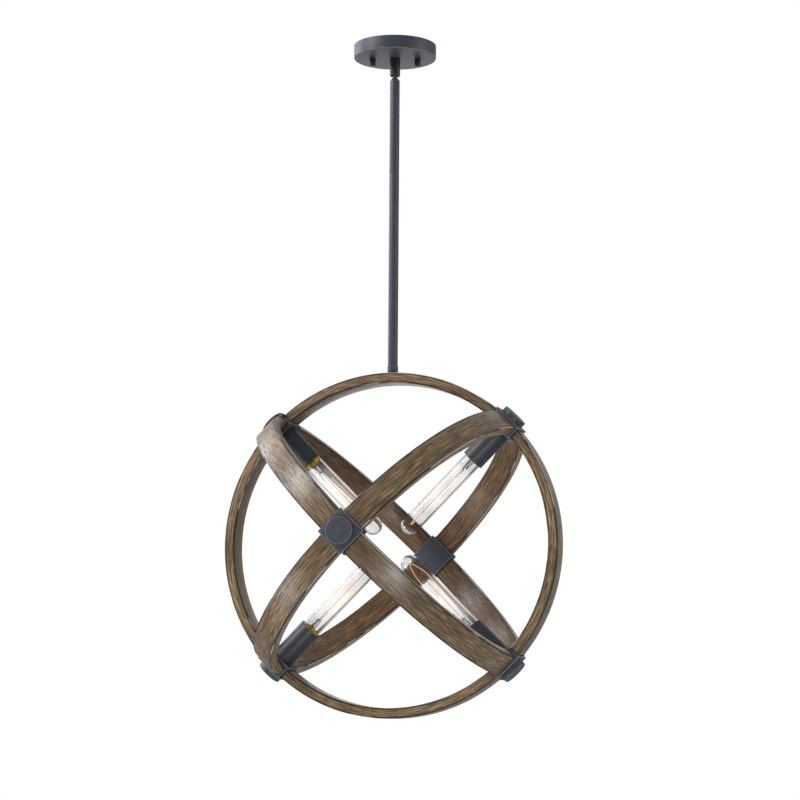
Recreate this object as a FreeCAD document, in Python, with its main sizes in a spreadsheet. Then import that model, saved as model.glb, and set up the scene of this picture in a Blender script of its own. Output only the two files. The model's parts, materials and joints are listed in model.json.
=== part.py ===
import FreeCAD, Part
import math
import os
import re

import Sketcher
from FreeCAD import Placement, Rotation, Vector

# Orb chandelier: three wood hoops of one size, square to each other, meet at six metal
# junctions. Four of the junctions carry a lamp that points to the middle of the orb.
# Frame: origin in the middle of the ceiling plane, +Z up, the upright hoop in the XZ
# plane, the lampless junctions in front (-Y) and behind (+Y). Sizes are in millimetres.

SIZES = {
    # ceiling plate and its fixings
    "bar_length": 104.0,
    "bar_width": 20.0,
    "bar_thickness": 2.0,
    "bar_drop": 1.0,
    "bar_turn": 16.0,
    "bar_wire_hole": 12.0,
    "box_screw_spacing": 88.9,
    "box_slot_length": 10.0,
    "box_slot_width": 5.0,
    "box_screw_diameter": 4.0,
    "box_screw_neck_diameter": 3.4,
    "box_screw_length": 14.0,
    "box_screw_head_diameter": 7.6,
    "box_screw_head_height": 2.4,
    "ground_screw_place": 19.0,
    "ground_screw_diameter": 3.4,
    "ground_screw_length": 5.0,
    "ground_screw_flats": 6.4,
    "ground_screw_head_height": 2.6,
    "stud_spacing": 69.85,
    "stud_diameter": 4.0,
    "stud_below_canopy": 7.5,
    "stud_hole_clearance": 0.3,
    "stud_nut_flats": 8.0,
    "stud_nut_height": 3.0,
    # canopy and the nuts that hold it
    "canopy_diameter": 127.0,
    "canopy_height": 20.0,
    "canopy_wall": 1.2,
    "canopy_edge_radius": 1.0,
    "cap_nut_diameter": 9.6,
    "cap_nut_length": 12.4,
    "cap_nut_edge": 0.8,
    "cap_nut_bore_depth": 9.0,
    # hollow threaded tube that is used all the way down, with its nuts
    "nipple_diameter": 9.6,
    "nipple_bore_diameter": 6.5,
    "thread_clearance": 0.1,
    "nipple_rise": 8.0,
    "nipple_entry": 9.0,
    "locknut_flats": 14.0,
    "locknut_height": 3.5,
    # hang-straight swivel
    "collar_diameter": 16.0,
    "collar_length": 28.5,
    "collar_thread_depth": 10.0,
    "collar_bore_diameter": 14.0,
    "collar_round": 2.0,
    "pivot_drop": 22.5,
    "tilt_limit": 15.0,
    "swivel_clearance": 0.25,
    "ring_clearance": 0.05,
    "ring_wall": 1.2,
    "ring_above_pivot": 4.0,
    "ring_below_pivot": 3.2,
    "pin_diameter": 2.0,
    "pin_clearance": 0.05,
    "ball_diameter": 11.0,
    "neck_diameter": 7.6,
    "head_bore_diameter": 4.5,
    "head_cone_top": 8.4,
    "head_cone_height": 4.0,
    "head_rim_height": 0.8,
    "head_gap": 3.0,
    "head_spigot_length": 13.0,
    "lug_width": 1.8,
    "lug_height": 3.0,
    "stop_screw_diameter": 3.0,
    "stop_screw_height": 6.2,
    "stop_tip_diameter": 1.6,
    "stop_tip_length": 2.0,
    "stop_tip_reach": 5.1,
    # down rod
    "stem_diameter": 15.0,
    "stem_bore_diameter": 11.4,
    "stem_land_length": 14.0,
    "upper_stem_length": 148.0,
    "joiner_length": 24.0,
    "foot_diameter": 16.4,
    "foot_height": 12.4,
    "foot_edge": 0.6,
    "foot_nipple_entry": 12.0,
    "foot_nut_height": 4.0,
    "foot_nut_diameter": 14.0,
    "foot_nut_clearance": 0.1,
    "foot_hole_clearance": 0.3,
    # wood hoops
    "orb_drop": 774.3,
    "hoop_radius": 260.0,
    "band_thickness": 15.5,
    "band_width": 38.0,
    "band_edge_radius": 1.5,
    "channel_width": 8.0,
    "channel_depth": 3.5,
    "channel_inset": 6.5,
    # metal junctions
    "core_width": 43.0,
    "plate_width": 47.5,
    "plate_thickness": 3.8,
    "plate_edge": 0.6,
    "junction_bore_diameter": 10.0,
    "wire_port": 4.0,
    "blind_depth": 9.0,
    "cap_diameter": 39.0,
    "cap_height": 8.8,
    "cap_edge": 0.8,
    "cap_spigot_depth": 4.0,
    # lamp sockets
    "cup_seat_diameter": 31.0,
    "cup_seat_height": 2.2,
    "cup_diameter": 35.0,
    "cup_length": 60.0,
    "cup_wall": 1.5,
    "cup_floor": 2.0,
    "cup_edge": 0.8,
    "socket_nipple_rise": 6.0,
    "socket_nipple_entry": 8.0,
    "holder_clearance": 0.4,
    "shell_clearance": 0.35,
    "shell_wall": 0.6,
    "shell_rim_width": 1.3,
    "shell_rim_height": 1.0,
    "shell_lip_length": 3.0,
    "shell_inset": 4.0,
    "contact_diameter": 8.0,
    "contact_thickness": 0.8,
    "contact_gap": 0.3,
    "holder_base_height": 21.9,
    "holder_wire_bore_diameter": 3.0,
    # lamps
    "bulb_tip_gap": 27.5,
    "bulb_diameter": 28.5,
    "bulb_glass": 0.9,
    "bulb_neck_diameter": 24.4,
    "bulb_shoulder": 7.0,
    "bulb_shoulder_start": 28.0,
    "base_diameter": 26.2,
    "base_wall": 0.7,
    "base_length": 27.0,
    "base_straight": 20.5,
    "base_floor": 9.5,
    "base_tip_diameter": 9.0,
    "base_tip_height": 1.0,
    "base_insulator_diameter": 13.0,
    "neck_depth": 10.5,
    "mount_flare": 1.0,
    "mount_foot_diameter": 16.0,
    "mount_taper": 10.0,
    "mount_rod_diameter": 7.0,
    "mount_length": 35.0,
    "pinch_width": 12.0,
    "pinch_thickness": 3.2,
    "pinch_height": 8.0,
    "filament_spread": 9.0,
    "filament_diameter": 1.4,
    "filament_tip_gap": 15.5,
}

# places that follow from the sizes, as formulas on the sheet
BAR_BOTTOM = "(-bar_drop - bar_thickness)"
CANOPY_FLOOR = "(canopy_wall - canopy_height)"
NIPPLE_HOLE = "(nipple_diameter / 2 + thread_clearance)"
PIVOT = "(-canopy_height - pivot_drop)"
COLLAR_END = "(-canopy_height - collar_length)"
RING_RADIUS = "(collar_bore_diameter / 2 - ring_clearance)"
RING_TOP = f"({PIVOT} + ring_above_pivot)"
RING_BOTTOM = f"({PIVOT} - ring_below_pivot)"
HEAD_TOP = f"({COLLAR_END} - head_gap)"
STEM_TOP = f"({HEAD_TOP} - head_cone_height - head_rim_height)"
STEM_JOINT = f"({STEM_TOP} - upper_stem_length)"
ORB_TOP = "(hoop_radius - orb_drop)"
STEM_END = f"({ORB_TOP} + foot_height)"
HOOP_INSIDE = "(hoop_radius - band_thickness)"
CHANNEL_RADIUS = "(hoop_radius - channel_inset)"
CORE_OUT = "sqrt(hoop_radius ^ 2 - (core_width / 2) ^ 2)"
CORE_IN = f"sqrt({HOOP_INSIDE} ^ 2 - (plate_width / 2) ^ 2)"
CAP_SEAT = f"({CORE_OUT} + plate_thickness)"
CUP_SEAT = f"({CORE_IN} - plate_thickness)"
CUP_TOP = f"({CUP_SEAT} - cup_seat_height)"
CUP_MOUTH = f"({CUP_TOP} - cup_length)"
CUP_INSIDE = f"({CUP_TOP} - cup_floor)"
HOLDER_FLOOR = f"({CUP_INSIDE} - holder_base_height)"
LAMP_END = f"({HOLDER_FLOOR} - contact_thickness - contact_gap)"
LAMP_RIM = f"({LAMP_END} - base_length)"
HOLDER_MOUTH = f"({CUP_MOUTH} + shell_inset + shell_rim_height)"
SHELL_BORE = "(base_diameter / 2 + shell_clearance)"
NECK_TOP = f"({LAMP_RIM} + neck_depth)"

doc = FreeCAD.newDocument("OrbChandelier")
sheet = doc.addObject("Spreadsheet::Sheet", "Sizes")
for row, (alias, size) in enumerate(SIZES.items(), start=1):
    sheet.set(f"A{row}", alias)
    sheet.set(f"B{row}", str(size))
    sheet.setAlias(f"B{row}", alias)
doc.recompute()


def bound(formula):
    """A formula with the sheet's name put before each size that it uses."""
    def with_sheet(word):
        name = word.group()
        return f"Sizes.{name}" if name in SIZES else name
    return re.sub(r"[a-z][a-z_]*", with_sheet, formula)


def value(formula):
    return float(sheet.evalExpression(formula))


# ---------------------------------------------------------------- sketches and features

def new_body(name, rotation=None, height="0"):
    """A sub-part's body, turned by rotation and lifted to a height that stays bound."""
    body = doc.addObject("PartDesign::Body", name)
    body.Label = name
    body.Placement = Placement(Vector(0, 0, value(height)), rotation or Rotation())
    body.setExpression("Placement.Base.z", bound(height))
    return body


def new_sketch(body, name, plane, lift="0", turn=0):
    """A sketch on one of the body's own planes, moved along its normal by lift."""
    sketch = body.newObject("Sketcher::SketchObject", name)
    support = [part for part in body.Origin.OriginFeatures if part.Role == plane]
    sketch.AttachmentSupport = [(support[0], "")]
    sketch.MapMode = "FlatFace"
    about_normal = Rotation(Vector(0, 0, 1), turn)
    sketch.AttachmentOffset = Placement(Vector(0, 0, value(lift)), about_normal)
    sketch.setExpression("AttachmentOffset.Base.z", bound(lift))
    return sketch


def bind(sketch, kind, where, formula, name):
    """One dimension of a sketch, tied to its formula."""
    index = sketch.addConstraint(Sketcher.Constraint(kind, *where, value(formula)))
    sketch.renameConstraint(index, name)
    sketch.setExpression(f"Constraints.{name}", bound(formula))


def add_loop(sketch, corners, arcs=None, closed=True):
    """Lines from corner to corner. arcs gives the centre of a side that is an arc:
    {side: (x, y, True when it turns anticlockwise)}."""
    arcs = arcs or {}
    first = sketch.GeometryCount
    places = [Vector(value(x), value(y), 0) for x, y in corners]
    sides = len(places) if closed else len(places) - 1
    ends = []
    for side in range(sides):
        start = places[side]
        stop = places[(side + 1) % len(places)]
        if side in arcs:
            centre = Vector(value(arcs[side][0]), value(arcs[side][1]), 0)
            anticlockwise = arcs[side][2]
            circle = Part.Circle(centre, Vector(0, 0, 1), (start - centre).Length)
            angles = [math.atan2(p.y - centre.y, p.x - centre.x) for p in (start, stop)]
            if not anticlockwise:
                angles.reverse()
            sketch.addGeometry(Part.ArcOfCircle(circle, *angles), False)
            ends.append((1, 2) if anticlockwise else (2, 1))
        else:
            sketch.addGeometry(Part.LineSegment(start, stop), False)
            ends.append((1, 2))
    for side in range(sides if closed else sides - 1):
        following = (side + 1) % sides
        sketch.addConstraint(Sketcher.Constraint(
            "Coincident", first + side, ends[side][1], first + following, ends[following][0]))
    for corner, (x, y) in enumerate(corners):
        side = corner if corner < sides else corner - 1
        end = ends[side][0] if corner < sides else ends[side][1]
        place = (-1, 1, first + side, end)
        bind(sketch, "DistanceX", place, x, f"x{first + corner}")
        bind(sketch, "DistanceY", place, y, f"y{first + corner}")
    for side, (x, y, _) in arcs.items():
        chord = places[(side + 1) % len(places)] - places[side]
        kind, formula = ("DistanceX", x) if abs(chord.y) > abs(chord.x) else ("DistanceY", y)
        bind(sketch, kind, (-1, 1, first + side, 3), formula, f"centre{first + side}")


def add_circle(sketch, x, y, radius):
    number = sketch.GeometryCount
    centre = Vector(value(x), value(y), 0)
    sketch.addGeometry(Part.Circle(centre, Vector(0, 0, 1), value(radius)), False)
    bind(sketch, "DistanceX", (-1, 1, number, 3), x, f"x{number}")
    bind(sketch, "DistanceY", (-1, 1, number, 3), y, f"y{number}")
    bind(sketch, "Radius", (number,), radius, f"radius{number}")


def add_slot(sketch, x, length, width):
    """A slot along X, with round ends, centred on x."""
    reach = f"({length} - {width}) / 2"
    corners = [(f"{x} - {reach}", f"-{width} / 2"), (f"{x} + {reach}", f"-{width} / 2"),
               (f"{x} + {reach}", f"{width} / 2"), (f"{x} - {reach}", f"{width} / 2")]
    arcs = {1: (f"{x} + {reach}", "0", True), 3: (f"{x} - {reach}", "0", True)}
    add_loop(sketch, corners, arcs)


def add_hexagon(sketch, flats):
    radius = f"{flats} / 2 / cos(30)"
    add_loop(sketch, [(f"{radius} * cos({60 * n + 30})", f"{radius} * sin({60 * n + 30})")
                      for n in range(6)])


def add_square(sketch, width):
    half = f"{width} / 2"
    add_loop(sketch, [(f"-{half}", f"-{half}"), (half, f"-{half}"),
                      (half, half), (f"-{half}", half)])


def revolve(body, corners, arcs=None, holes=(), name="Turned"):
    """A full turn about the body's Z axis of a profile in radius and height."""
    sketch = new_sketch(body, name + "Profile", "XZ_Plane")
    add_loop(sketch, corners, arcs)
    for hole in holes:
        add_loop(sketch, hole)
    turned = body.newObject("PartDesign::Revolution", name)
    turned.Profile = sketch
    turned.ReferenceAxis = (sketch, ["V_Axis"])
    turned.Angle = 360
    return turned


def pad(body, sketch, length, name="Raised"):
    raised = body.newObject("PartDesign::Pad", name)
    raised.Profile = sketch
    raised.setExpression("Length", bound(length))
    raised.Length = value(length)
    return raised


def pocket(body, sketch, length=None, reverse=False, name="Cut"):
    """A cut along the sketch's normal, right through when no length is given."""
    doc.recompute()
    before = body.Shape.Volume
    cut = body.newObject("PartDesign::Pocket", name)
    cut.Profile = sketch
    cut.Reversed = reverse
    if length is None:
        cut.Type = "ThroughAll"
        cut.Midplane = True
    else:
        cut.setExpression("Length", bound(length))
        cut.Length = value(length)
    doc.recompute()
    if body.Shape.Volume > before - 0.01:
        raise RuntimeError(f"{body.Label}: {name} removes nothing")
    return cut


def ease(body, kind, size, chosen, name="Eased"):
    """Rounds or bevels the edges of the last feature that chosen picks."""
    doc.recompute()
    base = body.Tip
    names = [f"Edge{number}" for number, edge in enumerate(base.Shape.Edges, start=1)
             if chosen(edge)]
    if not names:
        raise RuntimeError(f"{body.Label}: {name} finds no edge")
    eased = body.newObject("PartDesign::" + kind, name)
    eased.Base = (base, names)
    setting = "Radius" if kind == "Fillet" else "Size"
    eased.setExpression(setting, bound(size))
    setattr(eased, setting, value(size))
    doc.recompute()
    return eased


def is_rim(edge, radius, height):
    """True for a circle about the Z axis with this radius, at this height."""
    if not isinstance(edge.Curve, Part.Circle):
        return False
    centre = edge.Curve.Center
    return (abs(edge.Curve.Radius - value(radius)) < 0.01
            and abs(centre.z - value(height)) < 0.01)


def is_flat_at(edge, height):
    """True for a straight edge that lies at this height."""
    return (isinstance(edge.Curve, Part.Line)
            and all(abs(end.Point.z - value(height)) < 0.01 for end in edge.Vertexes))


def group(name, bodies):
    """Identical fixings that share one node."""
    together = doc.addObject("Part::Compound", name)
    together.Label = name
    together.Links = bodies
    return together


# ---------------------------------------------------------------- ceiling hardware

# the swivel lets the orb turn against the ceiling hardware, which is drawn turned from it
BAR_TURN = Rotation(Vector(0, 0, 1), value("bar_turn"))


def place_on_bar(body, distance):
    """Moves a fixing out along the turned strap."""
    body.setExpression("Placement.Base.x", bound(f"{distance} * cos(bar_turn)"))
    body.setExpression("Placement.Base.y", bound(f"{distance} * sin(bar_turn)"))


def make_crossbar():
    """Strap that is screwed to the ears of the outlet box, just below the ceiling plane."""
    body = new_body("crossbar", BAR_TURN, BAR_BOTTOM)
    sketch = new_sketch(body, "Strap", "XY_Plane")
    add_loop(sketch, [("-bar_length / 2", "-bar_width / 2"), ("bar_length / 2", "-bar_width / 2"),
                      ("bar_length / 2", "bar_width / 2"), ("-bar_length / 2", "bar_width / 2")])
    for side in ("-", ""):
        add_slot(sketch, f"{side}box_screw_spacing / 2", "box_slot_length", "box_slot_width")
        add_circle(sketch, f"{side}stud_spacing / 2", "0",
                   "stud_diameter / 2 + thread_clearance")
    add_circle(sketch, "0", "0", "bar_wire_hole / 2")
    add_circle(sketch, "ground_screw_place", "0",
               "ground_screw_diameter / 2 + thread_clearance")
    pad(body, sketch, "bar_thickness")
    return body


def make_box_screws():
    """Pan-head screws from under the strap up into the outlet box, plain inside the slots."""
    screws = []
    for side in (-1, 1):
        body = new_body(f"box_screw_{'left' if side < 0 else 'right'}", height=BAR_BOTTOM)
        place_on_bar(body, f"{side} * box_screw_spacing / 2")
        revolve(body, [("0", "-box_screw_head_height"),
                       ("box_screw_head_diameter / 2 - 0.6", "-box_screw_head_height"),
                       ("box_screw_head_diameter / 2", "0.8 - box_screw_head_height"),
                       ("box_screw_head_diameter / 2", "0"),
                       ("box_screw_neck_diameter / 2", "0"),
                       ("box_screw_neck_diameter / 2", "bar_thickness + bar_drop - 0.3"),
                       ("box_screw_diameter / 2", "bar_thickness + bar_drop"),
                       ("box_screw_diameter / 2", "box_screw_length"),
                       ("0", "box_screw_length")])
        screws.append(body)
    return group("box_screws", screws)


def make_ground_screw():
    body = new_body("ground_screw", height=BAR_BOTTOM)
    place_on_bar(body, "ground_screw_place")
    head = new_sketch(body, "HeadOutline", "XY_Plane", lift="-ground_screw_head_height")
    add_hexagon(head, "ground_screw_flats")
    pad(body, head, "ground_screw_head_height", name="Head")
    shank = new_sketch(body, "ShankOutline", "XY_Plane")
    add_circle(shank, "0", "0", "ground_screw_diameter / 2")
    pad(body, shank, "ground_screw_length", name="Shank")
    return body


def make_canopy_studs():
    """Threaded rods that hang from the strap and carry the canopy."""
    studs = []
    for side in (-1, 1):
        body = new_body(f"canopy_stud_{'left' if side < 0 else 'right'}")
        place_on_bar(body, f"{side} * stud_spacing / 2")
        revolve(body, [("0", "-canopy_height - stud_below_canopy"),
                       ("stud_diameter / 2", "-canopy_height - stud_below_canopy"),
                       ("stud_diameter / 2", "-bar_drop"), ("0", "-bar_drop")])
        studs.append(body)
    return group("canopy_studs", studs)


def hex_nut(name, flats, thickness, bore, top):
    body = new_body(name, height=f"{top} - {thickness}")
    sketch = new_sketch(body, "Outline", "XY_Plane")
    add_hexagon(sketch, flats)
    add_circle(sketch, "0", "0", bore)
    pad(body, sketch, thickness)
    return body


def make_stud_nuts():
    """Jam nuts that lock the studs under the strap."""
    nuts = []
    for side in (-1, 1):
        name = f"stud_nut_{'left' if side < 0 else 'right'}"
        body = hex_nut(name, "stud_nut_flats", "stud_nut_height",
                       "stud_diameter / 2 + thread_clearance", BAR_BOTTOM)
        place_on_bar(body, f"{side} * stud_spacing / 2")
        nuts.append(body)
    return group("stud_nuts", nuts)


def make_canopy():
    """Shallow round cup that covers the outlet box, with a flat underside."""
    body = new_body("canopy", BAR_TURN)
    rim = "canopy_diameter / 2"
    revolve(body, [(NIPPLE_HOLE, "-canopy_height"), (rim, "-canopy_height"),
                   (rim, "0"), (f"{rim} - canopy_wall", "0"),
                   (f"{rim} - canopy_wall", CANOPY_FLOOR), (NIPPLE_HOLE, CANOPY_FLOOR)])
    holes = new_sketch(body, "StudHoles", "XY_Plane")
    for side in ("-", ""):
        add_circle(holes, f"{side}stud_spacing / 2", "0",
                   "stud_diameter / 2 + stud_hole_clearance")
    pocket(body, holes, name="StudHolesCut")
    ease(body, "Fillet", "canopy_edge_radius", lambda e: is_rim(e, rim, "-canopy_height"))
    return body


def make_cap_nuts():
    """Long round nuts that pull the canopy up against the ceiling."""
    nuts = []
    end = "-canopy_height - cap_nut_length"
    bore = "stud_diameter / 2 + thread_clearance"
    radius = "cap_nut_diameter / 2"
    for side in (-1, 1):
        body = new_body(f"cap_nut_{'left' if side < 0 else 'right'}")
        place_on_bar(body, f"{side} * stud_spacing / 2")
        revolve(body, [("0", end), (f"{radius} - cap_nut_edge", end),
                       (radius, f"{end} + cap_nut_edge"), (radius, "-canopy_height"),
                       (bore, "-canopy_height"),
                       (bore, "-canopy_height - cap_nut_bore_depth"),
                       ("0", "-canopy_height - cap_nut_bore_depth")])
        nuts.append(body)
    return group("cap_nuts", nuts)


def threaded_tube(name, top, bottom, rotation=None, height="0"):
    """Length of hollow threaded tube, which the wires run through."""
    body = new_body(name, rotation, height)
    revolve(body, [("nipple_bore_diameter / 2", bottom), ("nipple_diameter / 2", bottom),
                   ("nipple_diameter / 2", top), ("nipple_bore_diameter / 2", top)])
    return body


# ---------------------------------------------------------------- hang-straight swivel

def mouth_radius(drop):
    """Room for the neck at this distance under the pivot, when it leans to its limit."""
    return (f"{drop} * tan(tilt_limit) + neck_diameter / 2 / cos(tilt_limit)"
            " + swivel_clearance")


def make_swivel_collar():
    """Round housing: a threaded top, a bore for the turning ring, and a lip under it."""
    body = new_body("swivel_collar")
    outside = "collar_diameter / 2"
    thread_end = "-canopy_height - collar_thread_depth"
    revolve(body, [(NIPPLE_HOLE, "-canopy_height"), (NIPPLE_HOLE, thread_end),
                   ("collar_bore_diameter / 2", thread_end),
                   ("collar_bore_diameter / 2", RING_BOTTOM),
                   (mouth_radius("ring_below_pivot"), RING_BOTTOM),
                   (mouth_radius("(collar_length - pivot_drop)"), COLLAR_END),
                   (f"{outside} - collar_round", COLLAR_END),
                   (outside, f"{COLLAR_END} + collar_round"),
                   (outside, "-canopy_height")],
            arcs={6: (f"{outside} - collar_round", f"{COLLAR_END} + collar_round", True)})
    hole = new_sketch(body, "StopHole", "XZ_Plane")
    add_circle(hole, "0", f"{PIVOT} + stop_screw_height",
               "stop_screw_diameter / 2 + thread_clearance")
    pocket(body, hole, "collar_diameter", name="StopHoleCut")
    return body


def make_stop_screw():
    """Small screw through the back of the collar, whose tip stops the turning ring."""
    body = new_body("stop_screw", Rotation(Vector(1, 0, 0), -90), f"{PIVOT} + stop_screw_height")
    tip = "stop_tip_diameter / 2"
    revolve(body, [("0", "stop_tip_reach"), (tip, "stop_tip_reach"),
                   (tip, "stop_tip_reach + stop_tip_length"),
                   ("stop_screw_diameter / 2", "stop_tip_reach + stop_tip_length"),
                   ("stop_screw_diameter / 2", "collar_diameter / 2"),
                   ("0", "collar_diameter / 2")])
    return body


def make_turning_ring():
    """Ring that turns on the collar's lip, holds the cross pin and carries the stop lug."""
    body = new_body("turning_ring")
    inside = f"{RING_RADIUS} - ring_wall"
    revolve(body, [(inside, RING_BOTTOM), (RING_RADIUS, RING_BOTTOM),
                   (RING_RADIUS, RING_TOP), (inside, RING_TOP)])
    lug = new_sketch(body, "Lug", "XY_Plane", lift=RING_TOP)
    near = f"-({inside} + 0.1)"
    far = f"-({RING_RADIUS} - 0.2)"
    add_loop(lug, [("-lug_width / 2", far), ("lug_width / 2", far),
                   ("lug_width / 2", near), ("-lug_width / 2", near)])
    pad(body, lug, "lug_height", name="StopLug")
    hole = new_sketch(body, "PinHole", "YZ_Plane")
    add_circle(hole, "0", PIVOT, "pin_diameter / 2")
    pocket(body, hole, name="PinHoleCut")
    return body


def make_cross_pin():
    """Pin across the ring, on which the ball leans."""
    body = new_body("cross_pin", Rotation(Vector(0, 1, 0), 90), PIVOT)
    reach = f"({RING_RADIUS} - swivel_clearance)"
    revolve(body, [("0", f"-{reach}"), ("pin_diameter / 2", f"-{reach}"),
                   ("pin_diameter / 2", reach), ("0", reach)])
    return body


def make_ball_head():
    """Ball, neck and cone in one turned piece, with a threaded spigot for the stem."""
    body = new_body("ball_head")
    ball = "ball_diameter / 2"
    neck = "neck_diameter / 2"
    bore = "head_bore_diameter / 2"
    ball_top = f"{PIVOT} + sqrt(({ball}) ^ 2 - ({bore}) ^ 2)"
    ball_foot = f"{PIVOT} - sqrt(({ball}) ^ 2 - ({neck}) ^ 2)"
    cone_foot = f"{HEAD_TOP} - head_cone_height"
    spigot = f"{STEM_TOP} - head_spigot_length"
    revolve(body, [(bore, ball_top), (bore, spigot), ("nipple_diameter / 2", spigot),
                   ("nipple_diameter / 2", STEM_TOP), ("stem_diameter / 2", STEM_TOP),
                   ("stem_diameter / 2", cone_foot), ("head_cone_top / 2", HEAD_TOP),
                   (neck, HEAD_TOP), (neck, ball_foot)],
            arcs={8: ("0", PIVOT, True)})
    hole = new_sketch(body, "PinBore", "YZ_Plane")
    add_circle(hole, "0", PIVOT, "pin_diameter / 2 + pin_clearance")
    pocket(body, hole, name="PinBoreCut")
    return body


# ---------------------------------------------------------------- down rod

def make_stem(name, top, bottom):
    """Tube with a thicker, threaded land inside each end."""
    body = new_body(name)
    outside = "stem_diameter / 2"
    bore = "stem_bore_diameter / 2"
    revolve(body, [(outside, top), (NIPPLE_HOLE, top), (NIPPLE_HOLE, f"{top} - stem_land_length"),
                   (bore, f"{top} - stem_land_length"), (bore, f"{bottom} + stem_land_length"),
                   (NIPPLE_HOLE, f"{bottom} + stem_land_length"), (NIPPLE_HOLE, bottom),
                   (outside, bottom)])
    return body


def make_stem_foot():
    """Short collar between the down rod and the top of the upright hoop."""
    body = new_body("stem_foot")
    outside = "foot_diameter / 2"
    revolve(body, [(NIPPLE_HOLE, ORB_TOP), (f"{outside} - foot_edge", ORB_TOP),
                   (outside, f"{ORB_TOP} + foot_edge"), (outside, f"{STEM_END} - foot_edge"),
                   (f"{outside} - foot_edge", STEM_END), (NIPPLE_HOLE, STEM_END)])
    return body


def make_foot_locknut():
    """Round nut set into the top of the hoop, which the foot nipple screws into."""
    body = new_body("foot_locknut")
    bottom = f"{ORB_TOP} - foot_nut_height"
    revolve(body, [(NIPPLE_HOLE, bottom), ("foot_nut_diameter / 2", bottom),
                   ("foot_nut_diameter / 2", ORB_TOP), (NIPPLE_HOLE, ORB_TOP)])
    return body


# ---------------------------------------------------------------- wood hoops

DIAGONAL = math.sqrt(0.5)
FRONT = Vector(0, -1, 0)
BACK = Vector(0, 1, 0)
TOP_LEFT = Vector(-DIAGONAL, 0, DIAGONAL)
TOP_RIGHT = Vector(DIAGONAL, 0, DIAGONAL)
BOTTOM_LEFT = Vector(-DIAGONAL, 0, -DIAGONAL)
BOTTOM_RIGHT = Vector(DIAGONAL, 0, -DIAGONAL)

LAMP_JUNCTIONS = {"top_left": TOP_LEFT, "top_right": TOP_RIGHT,
                  "bottom_left": BOTTOM_LEFT, "bottom_right": BOTTOM_RIGHT}
PLAIN_JUNCTIONS = {"front": FRONT, "back": BACK}

# each arc of wood runs from one junction to the next; those with a channel carry wires
ARCS = {
    "upright_top_arc": (TOP_LEFT, TOP_RIGHT, True),
    "upright_right_arc": (TOP_RIGHT, BOTTOM_RIGHT, True),
    "upright_bottom_arc": (BOTTOM_RIGHT, BOTTOM_LEFT, False),
    "upright_left_arc": (BOTTOM_LEFT, TOP_LEFT, True),
    "front_top_left_arc": (FRONT, TOP_LEFT, False),
    "front_top_right_arc": (FRONT, TOP_RIGHT, False),
    "front_bottom_left_arc": (FRONT, BOTTOM_LEFT, False),
    "front_bottom_right_arc": (FRONT, BOTTOM_RIGHT, False),
    "back_top_left_arc": (BACK, TOP_LEFT, False),
    "back_top_right_arc": (BACK, TOP_RIGHT, False),
    "back_bottom_left_arc": (BACK, BOTTOM_LEFT, False),
    "back_bottom_right_arc": (BACK, BOTTOM_RIGHT, False),
}


def make_arc(name, start, stop, has_channel):
    """Quarter of a hoop in bent wood. Its own X axis points to its middle and its Z axis
    is the hoop's axis. The ends are sawn parallel to the junctions that they butt on."""
    middle = (start + stop).normalize()
    axis = start.cross(stop).normalize()
    body = new_body(name, Rotation(middle, axis.cross(middle), axis, "ZXY"), "-orb_drop")
    section = new_sketch(body, "Section", "XZ_Plane")
    add_loop(section, [(HOOP_INSIDE, "-band_width / 2"), ("hoop_radius", "-band_width / 2"),
                       ("hoop_radius", "band_width / 2"), (HOOP_INSIDE, "band_width / 2")])
    if has_channel:
        inner = f"{CHANNEL_RADIUS} - channel_depth / 2"
        outer = f"{CHANNEL_RADIUS} + channel_depth / 2"
        add_loop(section, [(inner, "-channel_width / 2"), (outer, "-channel_width / 2"),
                           (outer, "channel_width / 2"), (inner, "channel_width / 2")])
    bend = body.newObject("PartDesign::Revolution", "Bend")
    bend.Profile = section
    bend.ReferenceAxis = (section, ["V_Axis"])
    bend.Midplane = True
    bend.Angle = 90
    ends = new_sketch(body, "SawnEnds", "XY_Plane")
    for side in (1, -1):
        corners = []
        for radial, cross in (("(hoop_radius + 5)", "-core_width / 2"),
                              ("(hoop_radius + 5)", "5"), (f"({HOOP_INSIDE} - 5)", "5"),
                              (f"({HOOP_INSIDE} - 5)", "-core_width / 2")):
            corners.append((f"({radial} - ({cross})) * cos(45)",
                            f"{side} * ({radial} + ({cross})) * cos(45)"))
        add_loop(ends, corners)
    pocket(body, ends, name="SawnEndsCut")
    along = ("hoop_radius", HOOP_INSIDE)
    heights = ("band_width / 2", "-band_width / 2")
    ease(body, "Fillet", "band_edge_radius",
         lambda edge: any(is_rim(edge, r, z) for r in along for z in heights))
    return body


def drill_foot_hole(body):
    """Seat for the round nut in the top arc, and a hole from it down to the wire channel."""
    hole = new_sketch(body, "FootHole", "YZ_Plane", lift=f"{CHANNEL_RADIUS} - channel_depth / 2")
    add_circle(hole, "0", "0", "nipple_diameter / 2 + foot_hole_clearance")
    pocket(body, hole, "band_thickness", reverse=True, name="FootHoleCut")
    seat = new_sketch(body, "NutSeat", "YZ_Plane", lift="hoop_radius - foot_nut_height")
    add_circle(seat, "0", "0", "foot_nut_diameter / 2 + foot_nut_clearance")
    pocket(body, seat, "band_thickness", reverse=True, name="NutSeatCut")


# ---------------------------------------------------------------- junctions

def junction_turn(direction):
    """Turns a body so that its Z axis points outwards and its X axis runs along a band."""
    if abs(direction.y) > 0.5:
        along = Vector(DIAGONAL, 0, DIAGONAL)
    else:
        along = Vector(direction.z, 0, -direction.x)
    return Rotation(along, direction.cross(along), direction, "ZXY")


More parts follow.
